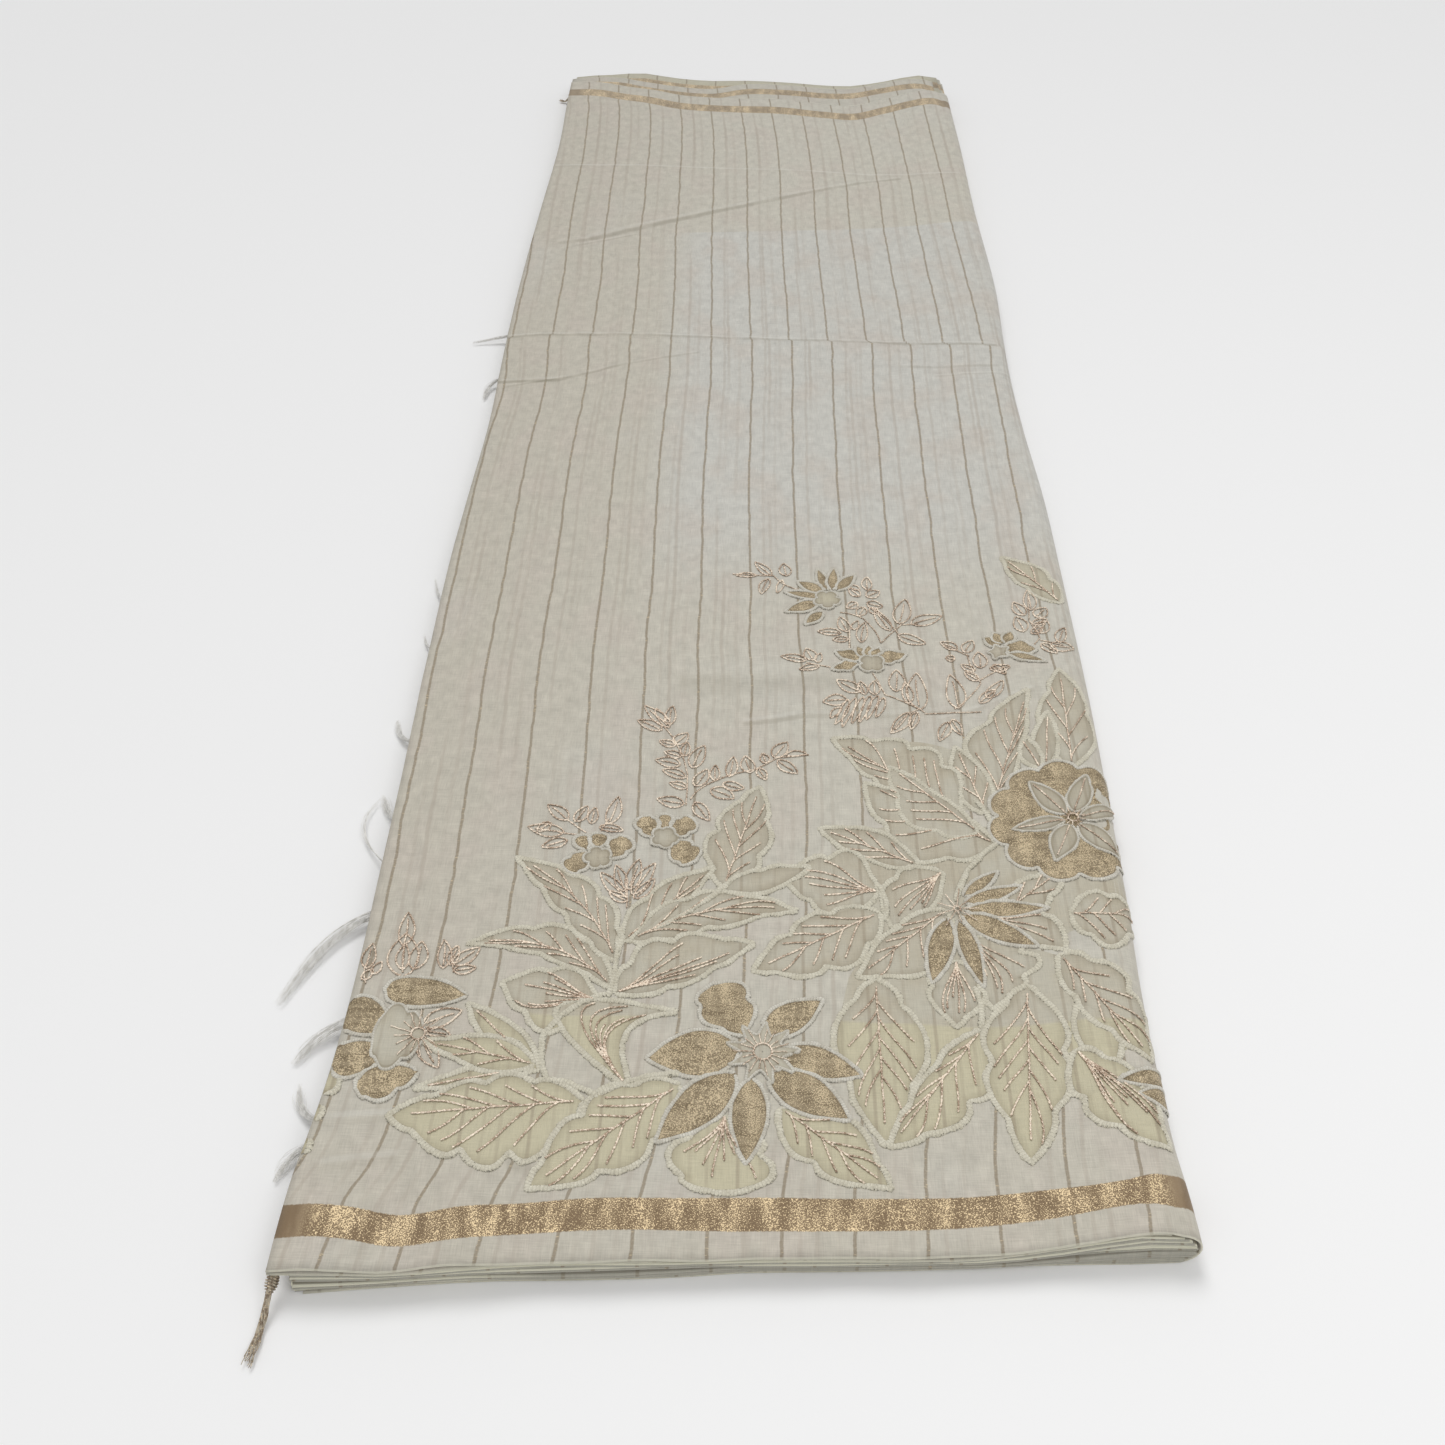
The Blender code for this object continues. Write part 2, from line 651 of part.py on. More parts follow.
def make_second_layer(collection, material):
    """The stretch below the top one, further out at the far hem and level with it at the left."""
    plan_columns = COLUMNS[:-1] + [TOP_RUN - SECOND_RIGHT_STEP]

    def near(s):
        return hem_line("near", across(s, NEAR_HEM_Y)) + SECOND_NEAR_STEP

    def far(s):
        return hem_line("second", across(s, LOWER_HEM_Y))

    ring = [(s, near(s)) for s in plan_columns]
    last = plan_columns[-1]
    ring += [(last, y) for y in side_rows(near(last), far(last), ROW_STEP)]
    ring += [(s, far(s)) for s in reversed(plan_columns)]
    first = plan_columns[0]
    ring += [(first, y) for y in reversed(side_rows(near(first), far(first), SIDE_STEP))]
    plan = list(ring)
    for s in plan_columns[1:-1]:
        plan += [(s, y) for y in side_rows(near(s), far(s), ROW_STEP)]
    faces = triangulate(plan, len(ring), column_lines(plan, plan_columns[1:-1]))
    top = []
    under = []
    for s, y in plan:
        x = across(s, y)
        z = crown(x, y) - WALL - GAP
        drawn_in = SECOND_LEFT_STEP if s == first else 0.0
        top.append(Vector((x + drawn_in, y, z)) * MM)
        under.append(Vector((x + drawn_in, y, z - WALL)) * MM)
    shell = closed_wall(top, under, faces, faces, len(ring))
    return place(shell, "second_layer", collection, material)


# Hems of the hidden layers, the lowest first: how far each steps back at the near hem
CORE_LAYERS = [
    {"near_step": 0.4, "far": "top", "far_reach": 22.0},
    {"near_step": 1.4, "far": "top", "far_reach": 27.0},
    {"near_step": 0.2, "far": "second", "far_reach": -8.0},
    {"near_step": 0.9, "far": "third", "far_reach": 0.0},
]
GROOVE = 1.4
TOP_INSET = 0.5
LAYER_LEVELS = (0.0, 0.22, 0.78)
CORE_TOP_DROP = 2 * WALL + 2 * GAP + 0.1
CORE_CORNER_RIGHT = 5.0
CORE_CORNER_LEFT = 3.0
CORE_LEAST_BULGE = 0.3
FOLD_GROOVE_SHARE = 0.6


def core_levels():
    """Height shares of the hidden layers' outlines, with each one's hem steps and inset."""
    levels = []
    count = len(CORE_LAYERS)
    for k, layer in enumerate(CORE_LAYERS):
        below = CORE_LAYERS[max(k - 1, 0)]
        for share in LAYER_LEVELS:
            groove = share == 0.0
            pair = (below, layer) if groove else (layer, layer)
            levels.append(((k + share) / count, pair, GROOVE if groove and k > 0 else 0.0))
    levels.append((1.0, (CORE_LAYERS[-1], CORE_LAYERS[-1]), TOP_INSET))
    return levels


def core_ring(share, pair, inset):
    """Plan outline of the hidden layers at one height share, with the height of each point."""
    def floor_to_top(x, y):
        top = crown(x, y) - CORE_TOP_DROP
        base = WALL + GAP
        return base + (top - base) * share

    def near(s):
        step = max(layer["near_step"] for layer in pair)
        return hem_line("near", across(s, NEAR_HEM_Y)) + step + inset

    def far(s):
        x = across(s, LOWER_HEM_Y)
        return min(hem_line(layer["far"], x) + layer["far_reach"] for layer in pair) - inset

    ring = []
    inner_columns = COLUMNS[1:]
    for s in inner_columns:
        x = across(s, near(s))
        ring.append((x, near(s), floor_to_top(x, near(s))))
    rows = side_rows(near(TOP_RUN), far(TOP_RUN), ROW_STEP)
    for y in [near(TOP_RUN) + CORE_CORNER_RIGHT] + rows + [far(TOP_RUN) - CORE_CORNER_RIGHT]:
        start = fold_start(y)
        z = floor_to_top(start, y)
        half = 0.5 * crown(start, y)
        rise = min(abs(z - half) / (half - WALL - GAP), 0.998)
        bulge = (FOLD_REACH - WALL - 2 * GAP) * math.sqrt(1 - rise * rise)
        x = start + max(bulge - FOLD_GROOVE_SHARE * inset, CORE_LEAST_BULGE)
        ring.append((x, y, z))
    for s in reversed(inner_columns):
        x = across(s, far(s))
        ring.append((x, far(s), floor_to_top(x, far(s))))
    first = near(COLUMNS[1])
    last = far(COLUMNS[1])
    rows = side_rows(first, last, SIDE_STEP)
    for y in reversed([first + CORE_CORNER_LEFT] + rows + [last - CORE_CORNER_LEFT]):
        x = core_left(y) + inset
        ring.append((x, y, floor_to_top(x, y)))
    return ring


def make_hidden_layers(collection, material):
    """All the other layers as one rounded solid, grooved between its layers."""
    rings = [core_ring(share, pair, inset) for share, pair, inset in core_levels()]
    count = len(rings[0])
    shell = bmesh.new()
    verts = [[shell.verts.new(Vector(p) * MM) for p in ring] for ring in rings]
    for low, high in zip(verts[:-1], verts[1:]):
        for i in range(count):
            j = (i + 1) % count
            shell.faces.new([low[i], low[j], high[j], high[i]])
    under_plan = [(p[0], p[1]) for p in rings[0]]
    for face in triangulate(under_plan, count, []):
        shell.faces.new([verts[0][i] for i in reversed(face)])

    ring = rings[-1]
    plan = [(along(p[0], p[1]), p[1]) for p in ring]
    inside = []
    for s in COLUMNS[1:]:
        on_column = [p[1] for p in plan if abs(p[0] - s) < 1e-6]
        inside += [(s, y) for y in side_rows(min(on_column), max(on_column), ROW_STEP)]
    full_plan = plan + inside
    lines = column_lines(full_plan, COLUMNS[1:])
    top_verts = list(verts[-1])
    for s, y in inside:
        x = across(s, y)
        z = crown(x, y) - CORE_TOP_DROP
        top_verts.append(shell.verts.new(Vector((x, y, z)) * MM))
    for face in triangulate(full_plan, count, lines):
        shell.faces.new([top_verts[i] for i in face])
    bmesh.ops.triangulate(shell, faces=[f for f in shell.faces if len(f.verts) > 3])
    return place(shell, "hidden_layers", collection, material)


def add_strand(shell, path, radius):
    """A three-sided thread along a path, closed at its root and pointed at its end."""
    rings = []
    for k, point in enumerate(path[:-1]):
        ahead = (path[k + 1] - path[max(k - 1, 0)]).normalized()
        side = ahead.cross(Vector((0, 0, 1))).normalized()
        up = side.cross(ahead)
        ring = []
        for corner in range(3):
            turn = math.radians(90 + 120 * corner)
            reach = side * math.cos(turn) + up * math.sin(turn)
            ring.append(shell.verts.new(point + reach * radius))
        rings.append(ring)
    tip = shell.verts.new(path[-1])
    shell.faces.new(rings[0])
    for low, high in zip(rings[:-1], rings[1:]):
        for i in range(3):
            j = (i + 1) % 3
            shell.faces.new([low[j], low[i], high[i], high[j]])
    for i in range(3):
        shell.faces.new([rings[-1][(i + 1) % 3], rings[-1][i], tip])


def hanging_path(root, tip):
    """A tassel's thread, which comes down from its root and then lies on the surface."""
    path = []
    for step in range(STRAND_STEPS + 1):
        t = step / STRAND_STEPS
        point = root + (tip - root) * t
        settled = min(t / TASSEL_DROP, 1.0)
        point.z = root.z + (tip.z - root.z) * settled * settled * (3 - 2 * settled)
        path.append(point)
    return path


def tuft_paths(tuft):
    """Threads that leave the strip side by side, come down to the surface and turn to the tuft's end."""
    root = Vector((strip_center(tuft.root_y), tuft.root_y, 0))
    knee = root + Vector((-tuft.knee, 0, 0))
    tip = Vector((tuft.tip_x, tuft.tip_y, 0))
    heading = (tip - knee).normalized()
    beside = Vector((heading.y, -heading.x, 0))
    paths = []
    for k in range(tuft.strands):
        offset = (k - 0.5 * (tuft.strands - 1)) * STRAND_SPACING
        reach = 1 - UNEVEN_ENDS * (1 - math.sin(k * 2.4 + tuft.root_y))
        first = root + Vector((0, offset, 0))
        turn = knee + (beside + Vector((0, 1, 0))) * 0.5 * offset
        last = knee + (tip - knee) * reach + beside * offset
        path = []
        for step in range(STRAND_STEPS + 1):
            t = step / STRAND_STEPS
            point = first * (1 - t) ** 2 + turn * 2 * t * (1 - t) + last * t * t
            settled = min(t / STRAND_DROP, 1.0)
            settled = settled * settled * (3 - 2 * settled)
            point.z = STRIP_HEIGHT + (STRAND_FLOOR - STRIP_HEIGHT) * settled
            path.append(point * MM)
        paths.append(path)
    return paths


def fuse_strands(backing, strands, joined):
    """Join a bundle of threads to the piece that holds their roots."""
    mesh = bpy.data.meshes.new(backing.name + "_threads")
    strands.to_mesh(mesh)
    strands.free()
    bundle = bpy.data.objects.new(backing.name + "_threads", mesh)
    joined.objects.link(bundle)
    bundle.hide_render = True
    bundle.display_type = "WIRE"
    union = backing.modifiers.new("threads", "BOOLEAN")
    union.operation = "UNION"
    union.solver = "EXACT"
    union.use_self = True
    union.object = bundle


def strip_center(y):
    """Middle of a fringe strip, just left of the hidden layers."""
    return core_left(y) - GAP - 0.5 * STRIP_WIDTH


def make_fringe(row, collection, joined, material):
    """A narrow strip parted from the pallu's edge, with its tufts that peep out of the left side."""
    rows = [row.first] + side_rows(row.first, row.last, SIDE_STEP) + [row.last]
    shell = bmesh.new()
    sections = []
    for y in rows:
        section = []
        for dx, dz in ((-0.5, -0.5), (0.5, -0.5), (0.5, 0.5), (-0.5, 0.5)):
            corner = (strip_center(y) + dx * STRIP_WIDTH, y, STRIP_HEIGHT + dz * STRIP_THICK)
            section.append(shell.verts.new(Vector(corner) * MM))
        sections.append(section)
    for near, far in zip(sections[:-1], sections[1:]):
        for i in range(4):
            j = (i + 1) % 4
            shell.faces.new([near[j], near[i], far[i], far[j]])
    shell.faces.new(sections[0])
    shell.faces.new(list(reversed(sections[-1])))
    strip = place(shell, row.name, collection, material)

    strands = bmesh.new()
    for tuft in TUFTS:
        if row.first < tuft.root_y < row.last:
            for path in tuft_paths(tuft):
                add_strand(strands, path, STRAND_RADIUS * MM)
    fuse_strands(strip, strands, joined)
    return strip


Tassel = namedtuple("Tassel", "name x y z tip_x tip_y head_length head_radius strands spread")
TASSELS = [
    Tassel("near_corner_tassel", -180.4, -591.2, 8.3, -184.6, -621.0, 4.4, 2.5, 14, 2.6),
    Tassel("far_corner_tassel", -178.2, 563.0, 7.0, -190.5, 567.0, 2.6, 2.0, 9, 2.6),
]


def make_tassel(row, collection, joined, material):
    """A wrapped head at the cloth's corner and the twisted threads that hang from it."""
    root = Vector((row.x, row.y, row.z)) * MM
    tip = Vector((row.tip_x, row.tip_y, STRAND_FLOOR)) * MM
    head = bmesh.new()
    bmesh.ops.create_uvsphere(head, u_segments=10, v_segments=7, radius=1.0)
    heading = (tip - root).normalized()
    turn = heading.to_track_quat("Z", "Y").to_matrix()
    for vert in head.verts:
        shaped = Vector((vert.co.x * row.head_radius, vert.co.y * row.head_radius,
                         vert.co.z * row.head_length))
        vert.co = root + turn @ shaped * MM
    piece = place(head, row.name, collection, material)

    strands = bmesh.new()
    level = Vector((heading.y, -heading.x, 0)).normalized()
    for k in range(row.strands):
        share = k / (row.strands - 1) - 0.5
        upper = 1 if k % 2 == 0 else 0
        start = root + level * share * row.spread * MM + Vector((0, 0, upper - 0.5)) * MM
        reach = 1 - UNEVEN_ENDS * (1 + math.sin(k * 2.1))
        end = root + (tip - root) * reach + level * share * row.spread * TASSEL_FLARE * MM
        end.z = tip.z + upper * TASSEL_STEP * MM
        add_strand(strands, hanging_path(start, end), STRAND_RADIUS * MM)
    fuse_strands(piece, strands, joined)
    return piece


def main():
    part, joined = start_scene()
    make_top_layer(part, finish_material("cream_cloth", CREAM, 0.85))
    make_second_layer(part, finish_material("second_cloth", SHADED_CREAM, 0.85))
    make_hidden_layers(part, finish_material("layered_cloth", LAYER_CREAM, 0.9))
    yarn = finish_material("fringe_thread", FRINGE_GREY, 0.8)
    for row in STRIPS:
        make_fringe(row, part, joined, yarn)
    gold = finish_material("zari_thread", TASSEL_GOLD, 0.4, 0.6)
    for row in TASSELS:
        make_tassel(row, part, joined, gold)


main()
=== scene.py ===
"""The looks of a folded sari: striped cloth, zari bands, organza applique, zari sprigs and fringe.

Table rows are millimetres in the part's own frame, and everything that is built is in metres.
"""

import math
from collections import namedtuple

import bpy
import numpy as np
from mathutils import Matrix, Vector


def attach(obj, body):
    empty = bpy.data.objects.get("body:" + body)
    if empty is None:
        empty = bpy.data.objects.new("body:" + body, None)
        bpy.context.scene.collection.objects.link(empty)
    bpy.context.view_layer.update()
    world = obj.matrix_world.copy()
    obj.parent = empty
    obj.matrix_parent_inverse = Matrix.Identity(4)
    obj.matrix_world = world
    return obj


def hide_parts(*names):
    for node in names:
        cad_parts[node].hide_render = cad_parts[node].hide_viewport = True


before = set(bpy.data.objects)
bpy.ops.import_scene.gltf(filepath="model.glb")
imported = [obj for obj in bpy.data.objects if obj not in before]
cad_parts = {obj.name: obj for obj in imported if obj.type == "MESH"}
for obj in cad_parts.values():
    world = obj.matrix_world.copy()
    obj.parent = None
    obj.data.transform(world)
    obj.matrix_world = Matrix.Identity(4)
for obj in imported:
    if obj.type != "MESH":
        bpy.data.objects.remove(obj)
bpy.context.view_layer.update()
MM = 0.001

# The place it lies in: a plain pale floor under soft overhead light, seen by a phone that is held
# above the near end and looks down along the cloth.
FLOOR_WHITE = (0.93, 0.93, 0.93, 1.0)
FLOOR_CORNERS = [(-4, -4, -0.0004), (4, -4, -0.0004), (4, 6, -0.0004), (-4, 6, -0.0004)]
SUN_STRENGTH = 1.05
SUN_SOFTNESS = math.radians(26)
SUN_HEADING = (0.35, -1.0, -1.6)
SOFTBOX_WIDTH = 1.2
SOFTBOX_POWER = 7.0
SOFTBOX_PLACE = (0.7, -1.1, 1.6)
SKY_WHITE = (1.0, 1.0, 1.0, 1.0)
SKY_STRENGTH = 0.50
SENSOR_WIDTH = 36.0
LENS_LENGTH = 36.05
PHONE_PLACE = (-0.0029, -0.832, 0.548)
PHONE_TILT = math.radians(90 - 44.49)
PHONE_TURN = math.radians(1.285)

floor_mesh = bpy.data.meshes.new("floor")
floor_mesh.from_pydata(FLOOR_CORNERS, [], [(0, 1, 2, 3)])
floor = bpy.data.objects.new("floor", floor_mesh)
bpy.context.scene.collection.objects.link(floor)
floor_paint = bpy.data.materials.new("floor_paint")
floor_paint.use_nodes = True
floor_shader = floor_paint.node_tree.nodes["Principled BSDF"]
floor_shader.inputs["Base Color"].default_value = FLOOR_WHITE
floor_shader.inputs["Roughness"].default_value = 0.8
floor_mesh.materials.append(floor_paint)

sunlight = bpy.data.lights.new("high_window", "SUN")
sunlight.energy = SUN_STRENGTH
sunlight.angle = SUN_SOFTNESS
high_window = bpy.data.objects.new("high_window", sunlight)
high_window.rotation_euler = Vector(SUN_HEADING).to_track_quat("-Z", "Y").to_euler()
bpy.context.scene.collection.objects.link(high_window)
softbox = bpy.data.lights.new("near_softbox", "AREA")
softbox.shape = "DISK"
softbox.size = SOFTBOX_WIDTH
softbox.energy = SOFTBOX_POWER
near_softbox = bpy.data.objects.new("near_softbox", softbox)
near_softbox.location = SOFTBOX_PLACE
near_softbox.rotation_euler = (-near_softbox.location).to_track_quat("-Z", "Y").to_euler()
bpy.context.scene.collection.objects.link(near_softbox)

daylight = bpy.data.worlds.new("daylight")
daylight.use_nodes = True
sky = daylight.node_tree.nodes["Background"]
sky.inputs["Color"].default_value = SKY_WHITE
sky.inputs["Strength"].default_value = SKY_STRENGTH
bpy.context.scene.world = daylight
bpy.context.scene.view_settings.view_transform = "Standard"

phone_lens = bpy.data.cameras.new("phone_lens")
phone_lens.sensor_width = SENSOR_WIDTH
phone_lens.lens = LENS_LENGTH
phone = bpy.data.objects.new("phone", phone_lens)
phone.location = PHONE_PLACE
phone.rotation_euler = (PHONE_TILT, 0.0, PHONE_TURN)
bpy.context.scene.collection.objects.link(phone)
bpy.context.scene.camera = phone

# The lie of the folded stack. The real cloth is one woven length folded in 16 layers; its long sides
# wander a little, its hems are staggered, and it is thickest along the rolled right-hand fold.
FOLD_REACH = 9.0
TOP_RUN = 345.0
FOLD_RUN = 28.0
BOTTOM_RUN = 335.0
BOTTOM_LEFT = -170.0


def table(fields, *rows):
    """A table's rows, whose columns have names."""
    row_type = namedtuple("Row", fields)
    return [row_type(*row) for row in rows]


SIDES = table(
    "y left right inset",
    (-595, -182.0, 177.0, 9.0),
    (-571, -181.9, 177.3, 8.6),
    (-550, -181.0, 176.5, 7.6),
    (-528, -178.6, 174.8, 5.0),
    (-500, -176.4, 174.6, 4.0),
    (-456, -175.3, 175.2, 4.0),
    (-399, -176.0, 178.0, 4.0),
    (-336, -177.0, 180.0, 4.0),
    (-262, -179.0, 182.0, 4.0),
    (-158, -180.4, 182.6, 4.0),
    (-80, -179.0, 182.4, 4.0),
    (-9, -177.5, 179.6, 4.0),
    (60, -179.0, 178.6, 4.0),
    (117, -180.0, 179.8, 4.0),
    (191, -180.2, 182.4, 4.0),
    (319, -178.6, 180.0, 4.0),
    (438, -176.2, 180.0, 4.0),
    (535, -178.4, 178.8, 4.0),
    (620, -179.6, 178.0, 4.0),
)
HEMS = table(
    "x near top second third",
    (-182, -590.2, 582, 594, 598),
    (-165, -590.0, 580, 599, 603),
    (-134, -589.0, 576, 602, 610),
    (-112, -586.6, 571, 594, 616),
    (-78, -584.0, 559, 584, 606),
    (-45, -582.6, 555, 581, 601),
    (-12, -580.9, 553, 594, 603),
    (29, -579.4, 550, 592, 600),
    (60, -578.4, 543, 586, 594),
    (88, -577.2, 538, 585, 591),
    (115, -574.3, 548, 592, 596),
    (146, -570.4, 558, 595, 603),
    (163, -569.6, 558, 586, 600),
    (176, -571.6, 545, 568, 588),
)
CROWNS = table(
    "x near middle far",
    (-182, 14.3, 13.0, 14.4),
    (-165, 14.8, 13.2, 15.0),
    (-130, 14.0, 12.8, 14.0),
    (-70, 13.2, 12.2, 12.6),
    (0, 12.2, 12.0, 11.6),
    (45, 12.0, 12.4, 11.2),
    (86, 11.2, 12.6, 11.6),
    (117, 12.6, 13.6, 13.8),
    (136, 15.2, 15.0, 16.0),
    (151, 17.8, 16.6, 17.8),
    (163, 18.6, 17.4, 18.6),
    (182, 18.4, 17.4, 18.4),
)
RIPPLES = table(
    "x y reach_x reach_y lift",
    (-170, -578, 9, 45, 1.0),
    (-150, -565, 8, 40, 0.8),
    (-112, -572, 17, 50, 1.3),
    (-60, -560, 22, 45, 0.6),
    (-150, 572, 20, 60, 1.8),
    (-95, 560, 18, 45, 1.1),
    (10, 550, 24, 40, 1.0),
)


def through(table, column, at):
    """Values of the smooth curve through a table's column, keyed by its first column."""
    keys = np.array([row[0] for row in table], float)
    values = np.array([getattr(row, column) for row in table], float)
    slopes = np.empty(len(keys))
    slopes[1:-1] = (values[2:] - values[:-2]) / (keys[2:] - keys[:-2])
    slopes[0] = (values[1] - values[0]) / (keys[1] - keys[0])
    slopes[-1] = (values[-1] - values[-2]) / (keys[-1] - keys[-2])
    at = np.clip(np.asarray(at, float), keys[0], keys[-1])
    i = np.clip(np.searchsorted(keys, at, side="right") - 1, 0, len(keys) - 2)
    span = keys[i + 1] - keys[i]
    t = (at - keys[i]) / span
    curve = (2 * t**3 - 3 * t**2 + 1) * values[i] + (3 * t**2 - 2 * t**3) * values[i + 1]
    return curve + ((t**3 - 2 * t**2 + t) * slopes[i] + (t**3 - t**2) * slopes[i + 1]) * span


def left_edge(y):
    return through(SIDES, "left", y)


def fold_start(y):
    """Where the flat top ends and the right-hand fold begins."""
    return through(SIDES, "right", y) - FOLD_REACH


def across(s, y):
    """The x of a place on the flat top, from its distance along the cloth's length."""
    return left_edge(y) + (fold_start(y) - left_edge(y)) * s / TOP_RUN


def crown(x, y):
    """Height of the stack's upper face."""
    t = (y + 590.0) / 1180.0
    end = np.where(t < 0.5, through(CROWNS, "near", x), through(CROWNS, "far", x))
    middle = through(CROWNS, "middle", x)
    return middle + (end - middle) * (2 * t - 1) ** 2 + 0.35 * np.sin(y / 47.0 + x / 60.0)


def ripple_lift(x, y):
    """How far the top stretch stands off the layer below."""
    lift = np.zeros_like(x * y)
    for row in RIPPLES:
        lift += row.lift * np.exp(-((x - row.x) / row.reach_x) ** 2 - ((y - row.y) / row.reach_y) ** 2)
    return lift


# The top stretch, with the right-hand fold and what comes back underneath it. It is fine plain-woven
# tissue cotton, creased where it was pressed, with thin zari stripes along its width and a zari band
# beside each hem.
CLOTH_THICK = 0.6
STRIPE_FIRST = -175.5
STRIPE_PITCH = 28.4
CREAM = (0.580, 0.552, 0.472, 1.0)
CREAM_LEFT = (0.548, 0.512, 0.430, 1.0)
CREAM_COOL = (0.592, 0.582, 0.535, 1.0)
CREAM_WARM = (0.570, 0.508, 0.440, 1.0)
CLOTH_OLIVE = (0.480, 0.450, 0.300, 1.0)
CLOTH_GREY = (0.430, 0.415, 0.365, 1.0)
STRIPE_BROWN = (0.265, 0.210, 0.140, 1.0)
GHOST_BROWN = (0.400, 0.340, 0.275, 1.0)
# Colours of the painted shade and the painted highlight along the pressed folds.
CREASE_SHADE = (0.300, 0.272, 0.205, 1.0)
CREASE_HIGHLIGHT = (0.740, 0.725, 0.660, 1.0)
# Colour of the painted shadow in the gaps between the lower layers' hems.
GAP_SHADOW = (0.240, 0.220, 0.165, 1.0)
# Colour of the pale hem lines: the paler selvedge, brightened further as painted light.
HEM_PALE_AND_LIT = (0.900, 0.880, 0.710, 1.0)
BAND_TAN = (0.235, 0.160, 0.088, 1.0)
BAND_SHEEN = (0.310, 0.222, 0.130, 1.0)
BAND_DARK = (0.160, 0.108, 0.058, 1.0)
BAND_FAR = (0.560, 0.500, 0.390, 1.0)
GOLD_GLINT = (1.000, 0.800, 0.500, 1.0)
FAR_BAND_INSET = 18.0
FAR_BAND_WIDTH = 15.0
GHOSTS = (
    (0.56, 0.00008, 1.5, 0.38),
    (0.68, -0.00012, 1.3, 0.28),
    (0.30, 0.00014, 1.6, 0.20),
    (0.42, -0.00005, 1.2, 0.14),
)

PRESSES = table(
    "x0 y0 x1 y1 width ridge step",
    (-184, 107, -120, 114, 3.0, 0.40, 0.40),
    (-120, 114, -5, 110, 3.0, 0.40, 0.40),
    (-5, 110, 108, 106, 3.0, 0.45, 0.45),
    (108, 106, 186, 95, 3.0, 0.50, 0.50),
    (-158, 256, -40, 312, 4.5, 0.60, 0.35),
    (-40, 312, 66, 362, 5.0, 0.40, 0.25),
    (66, 362, 124, 379, 5.0, 0.25, 0.15),
    (-180, 44, -128, 53, 5.0, 0.45, 0.30),
    (-128, 53, -60, 84, 6.0, 0.30, 0.15),
    (70, 76, 180, 62, 6.0, 0.25, 0.20),
    (-178, -268, 60, -262, 14.0, 0.50, 0.50),
    (-4, -288, 28, -281, 2.6, 0.45, 0.15),
    (28, -281, 112, -276, 3.0, 0.30, 0.10),
    (-178, 397, 20, 394, 5.0, 0.35, 0.25),
    (20, 394, 182, 378, 5.0, 0.35, 0.25),
    (-150, 80, -20, 66, 3.0, 0.18, 0.08),
    (-172, 175, -95, 163, 4.0, 0.22, 0.10),
    (-176, -95, -60, -88, 6.0, 0.20, 0.10),
    (-176, -548, -128, -542, 5.0, 0.20, 0.05),
    (-176, -528, -146, -525, 4.5, 0.20, 0.05),
    (20, 250, 150, 236, 5.0, 0.18, 0.10),
    (-60, 200, 30, 214, 5.0, 0.16, 0.10),
    (-120, 470, 60, 488, 6.0, 0.30, 0.15),
    (60, 500, 170, 470, 6.0, 0.30, 0.15),
)
LEANS_NEAR = table(
    "y left inner_left middle inner_right right",
    (-592, -16.5, -13.2, -9.8, -9.8, -9.8),
    (-580, -14.6, -12.0, -9.3, -9.3, -9.3),
    (-560, -10.9, -9.6, -8.8, -8.6, -8.6),
    (-545, -3.5, -4.5, -7.0, -8.2, -8.4),
    (-529, 0.5, -1.0, -4.0, -6.5, -8.2),
    (-500, 3.0, 2.5, 0.5, -2.0, -6.5),
    (-470, 4.3, 5.5, 2.5, -1.0, -6.3),
    (-440, 5.6, 6.8, 3.5, 0.0, -6.0),
    (-400, 5.6, 7.6, 4.8, 1.5, -5.0),
    (-350, 3.6, 6.3, 5.6, 3.5, -3.5),
    (-300, 3.0, 4.4, 4.7, 4.5, -2.0),
    (-260, 1.0, 2.9, 5.5, 4.2, -0.3),
    (-220, 0.7, 1.8, 3.6, 2.0, -1.5),
    (-180, 0.3, 2.2, 4.2, 0.9, -1.5),
    (-140, -0.1, 2.0, 3.2, 1.4, -3.3),
    (-100, -0.4, 0.8, 2.4, 1.2, -1.8),
    (-60, -0.5, 0.1, 1.9, 0.9, -2.3),
    (-20, 0.0, -0.2, 2.4, 1.7, -1.3),
    (20, 2.0, 0.6, 2.4, 1.2, -0.8),
    (50, 1.6, 0.9, 3.4, 1.9, -0.5),
    (75, -0.5, 1.0, 2.6, 2.7, 0.0),
    (90, -2.0, 0.1, 2.6, 3.4, 1.4),
    (115, -2.9, -0.5, 2.6, 3.3, 1.2),
)
LEANS_FAR = table(
    "y left inner_left middle inner_right right",
    (90, -0.5, 0.6, 1.5, -0.5, -3.5),
    (115, -0.7, 0.6, 1.4, -0.6, -3.8),
    (140, -1.2, 0.6, 0.6, -0.8, -4.0),
    (170, -1.3, 0.1, 0.1, -1.6, -4.8),
    (200, -1.3, -0.4, -0.9, -2.8, -6.3),
    (240, -2.8, -2.4, -1.9, -3.8, -7.5),
    (280, -4.4, -3.7, -2.6, -5.1, -8.8),
    (320, -5.9, -3.4, -3.1, -5.1, -9.3),
    (360, -6.2, -4.4, -3.4, -4.8, -9.3),
    (400, -5.6, -5.2, -4.1, -6.1, -10.3),
    (440, -6.6, -5.7, -5.4, -7.6, -11.3),
    (480, -8.2, -7.2, -7.4, -9.8, -12.4),
    (520, -10.0, -9.7, -10.9, -12.3, -13.0),
    (540, -12.0, -12.4, -12.1, -12.8, -14.0),
    (620, -17.0, -17.5, -17.5, -18.0, -19.0),
)
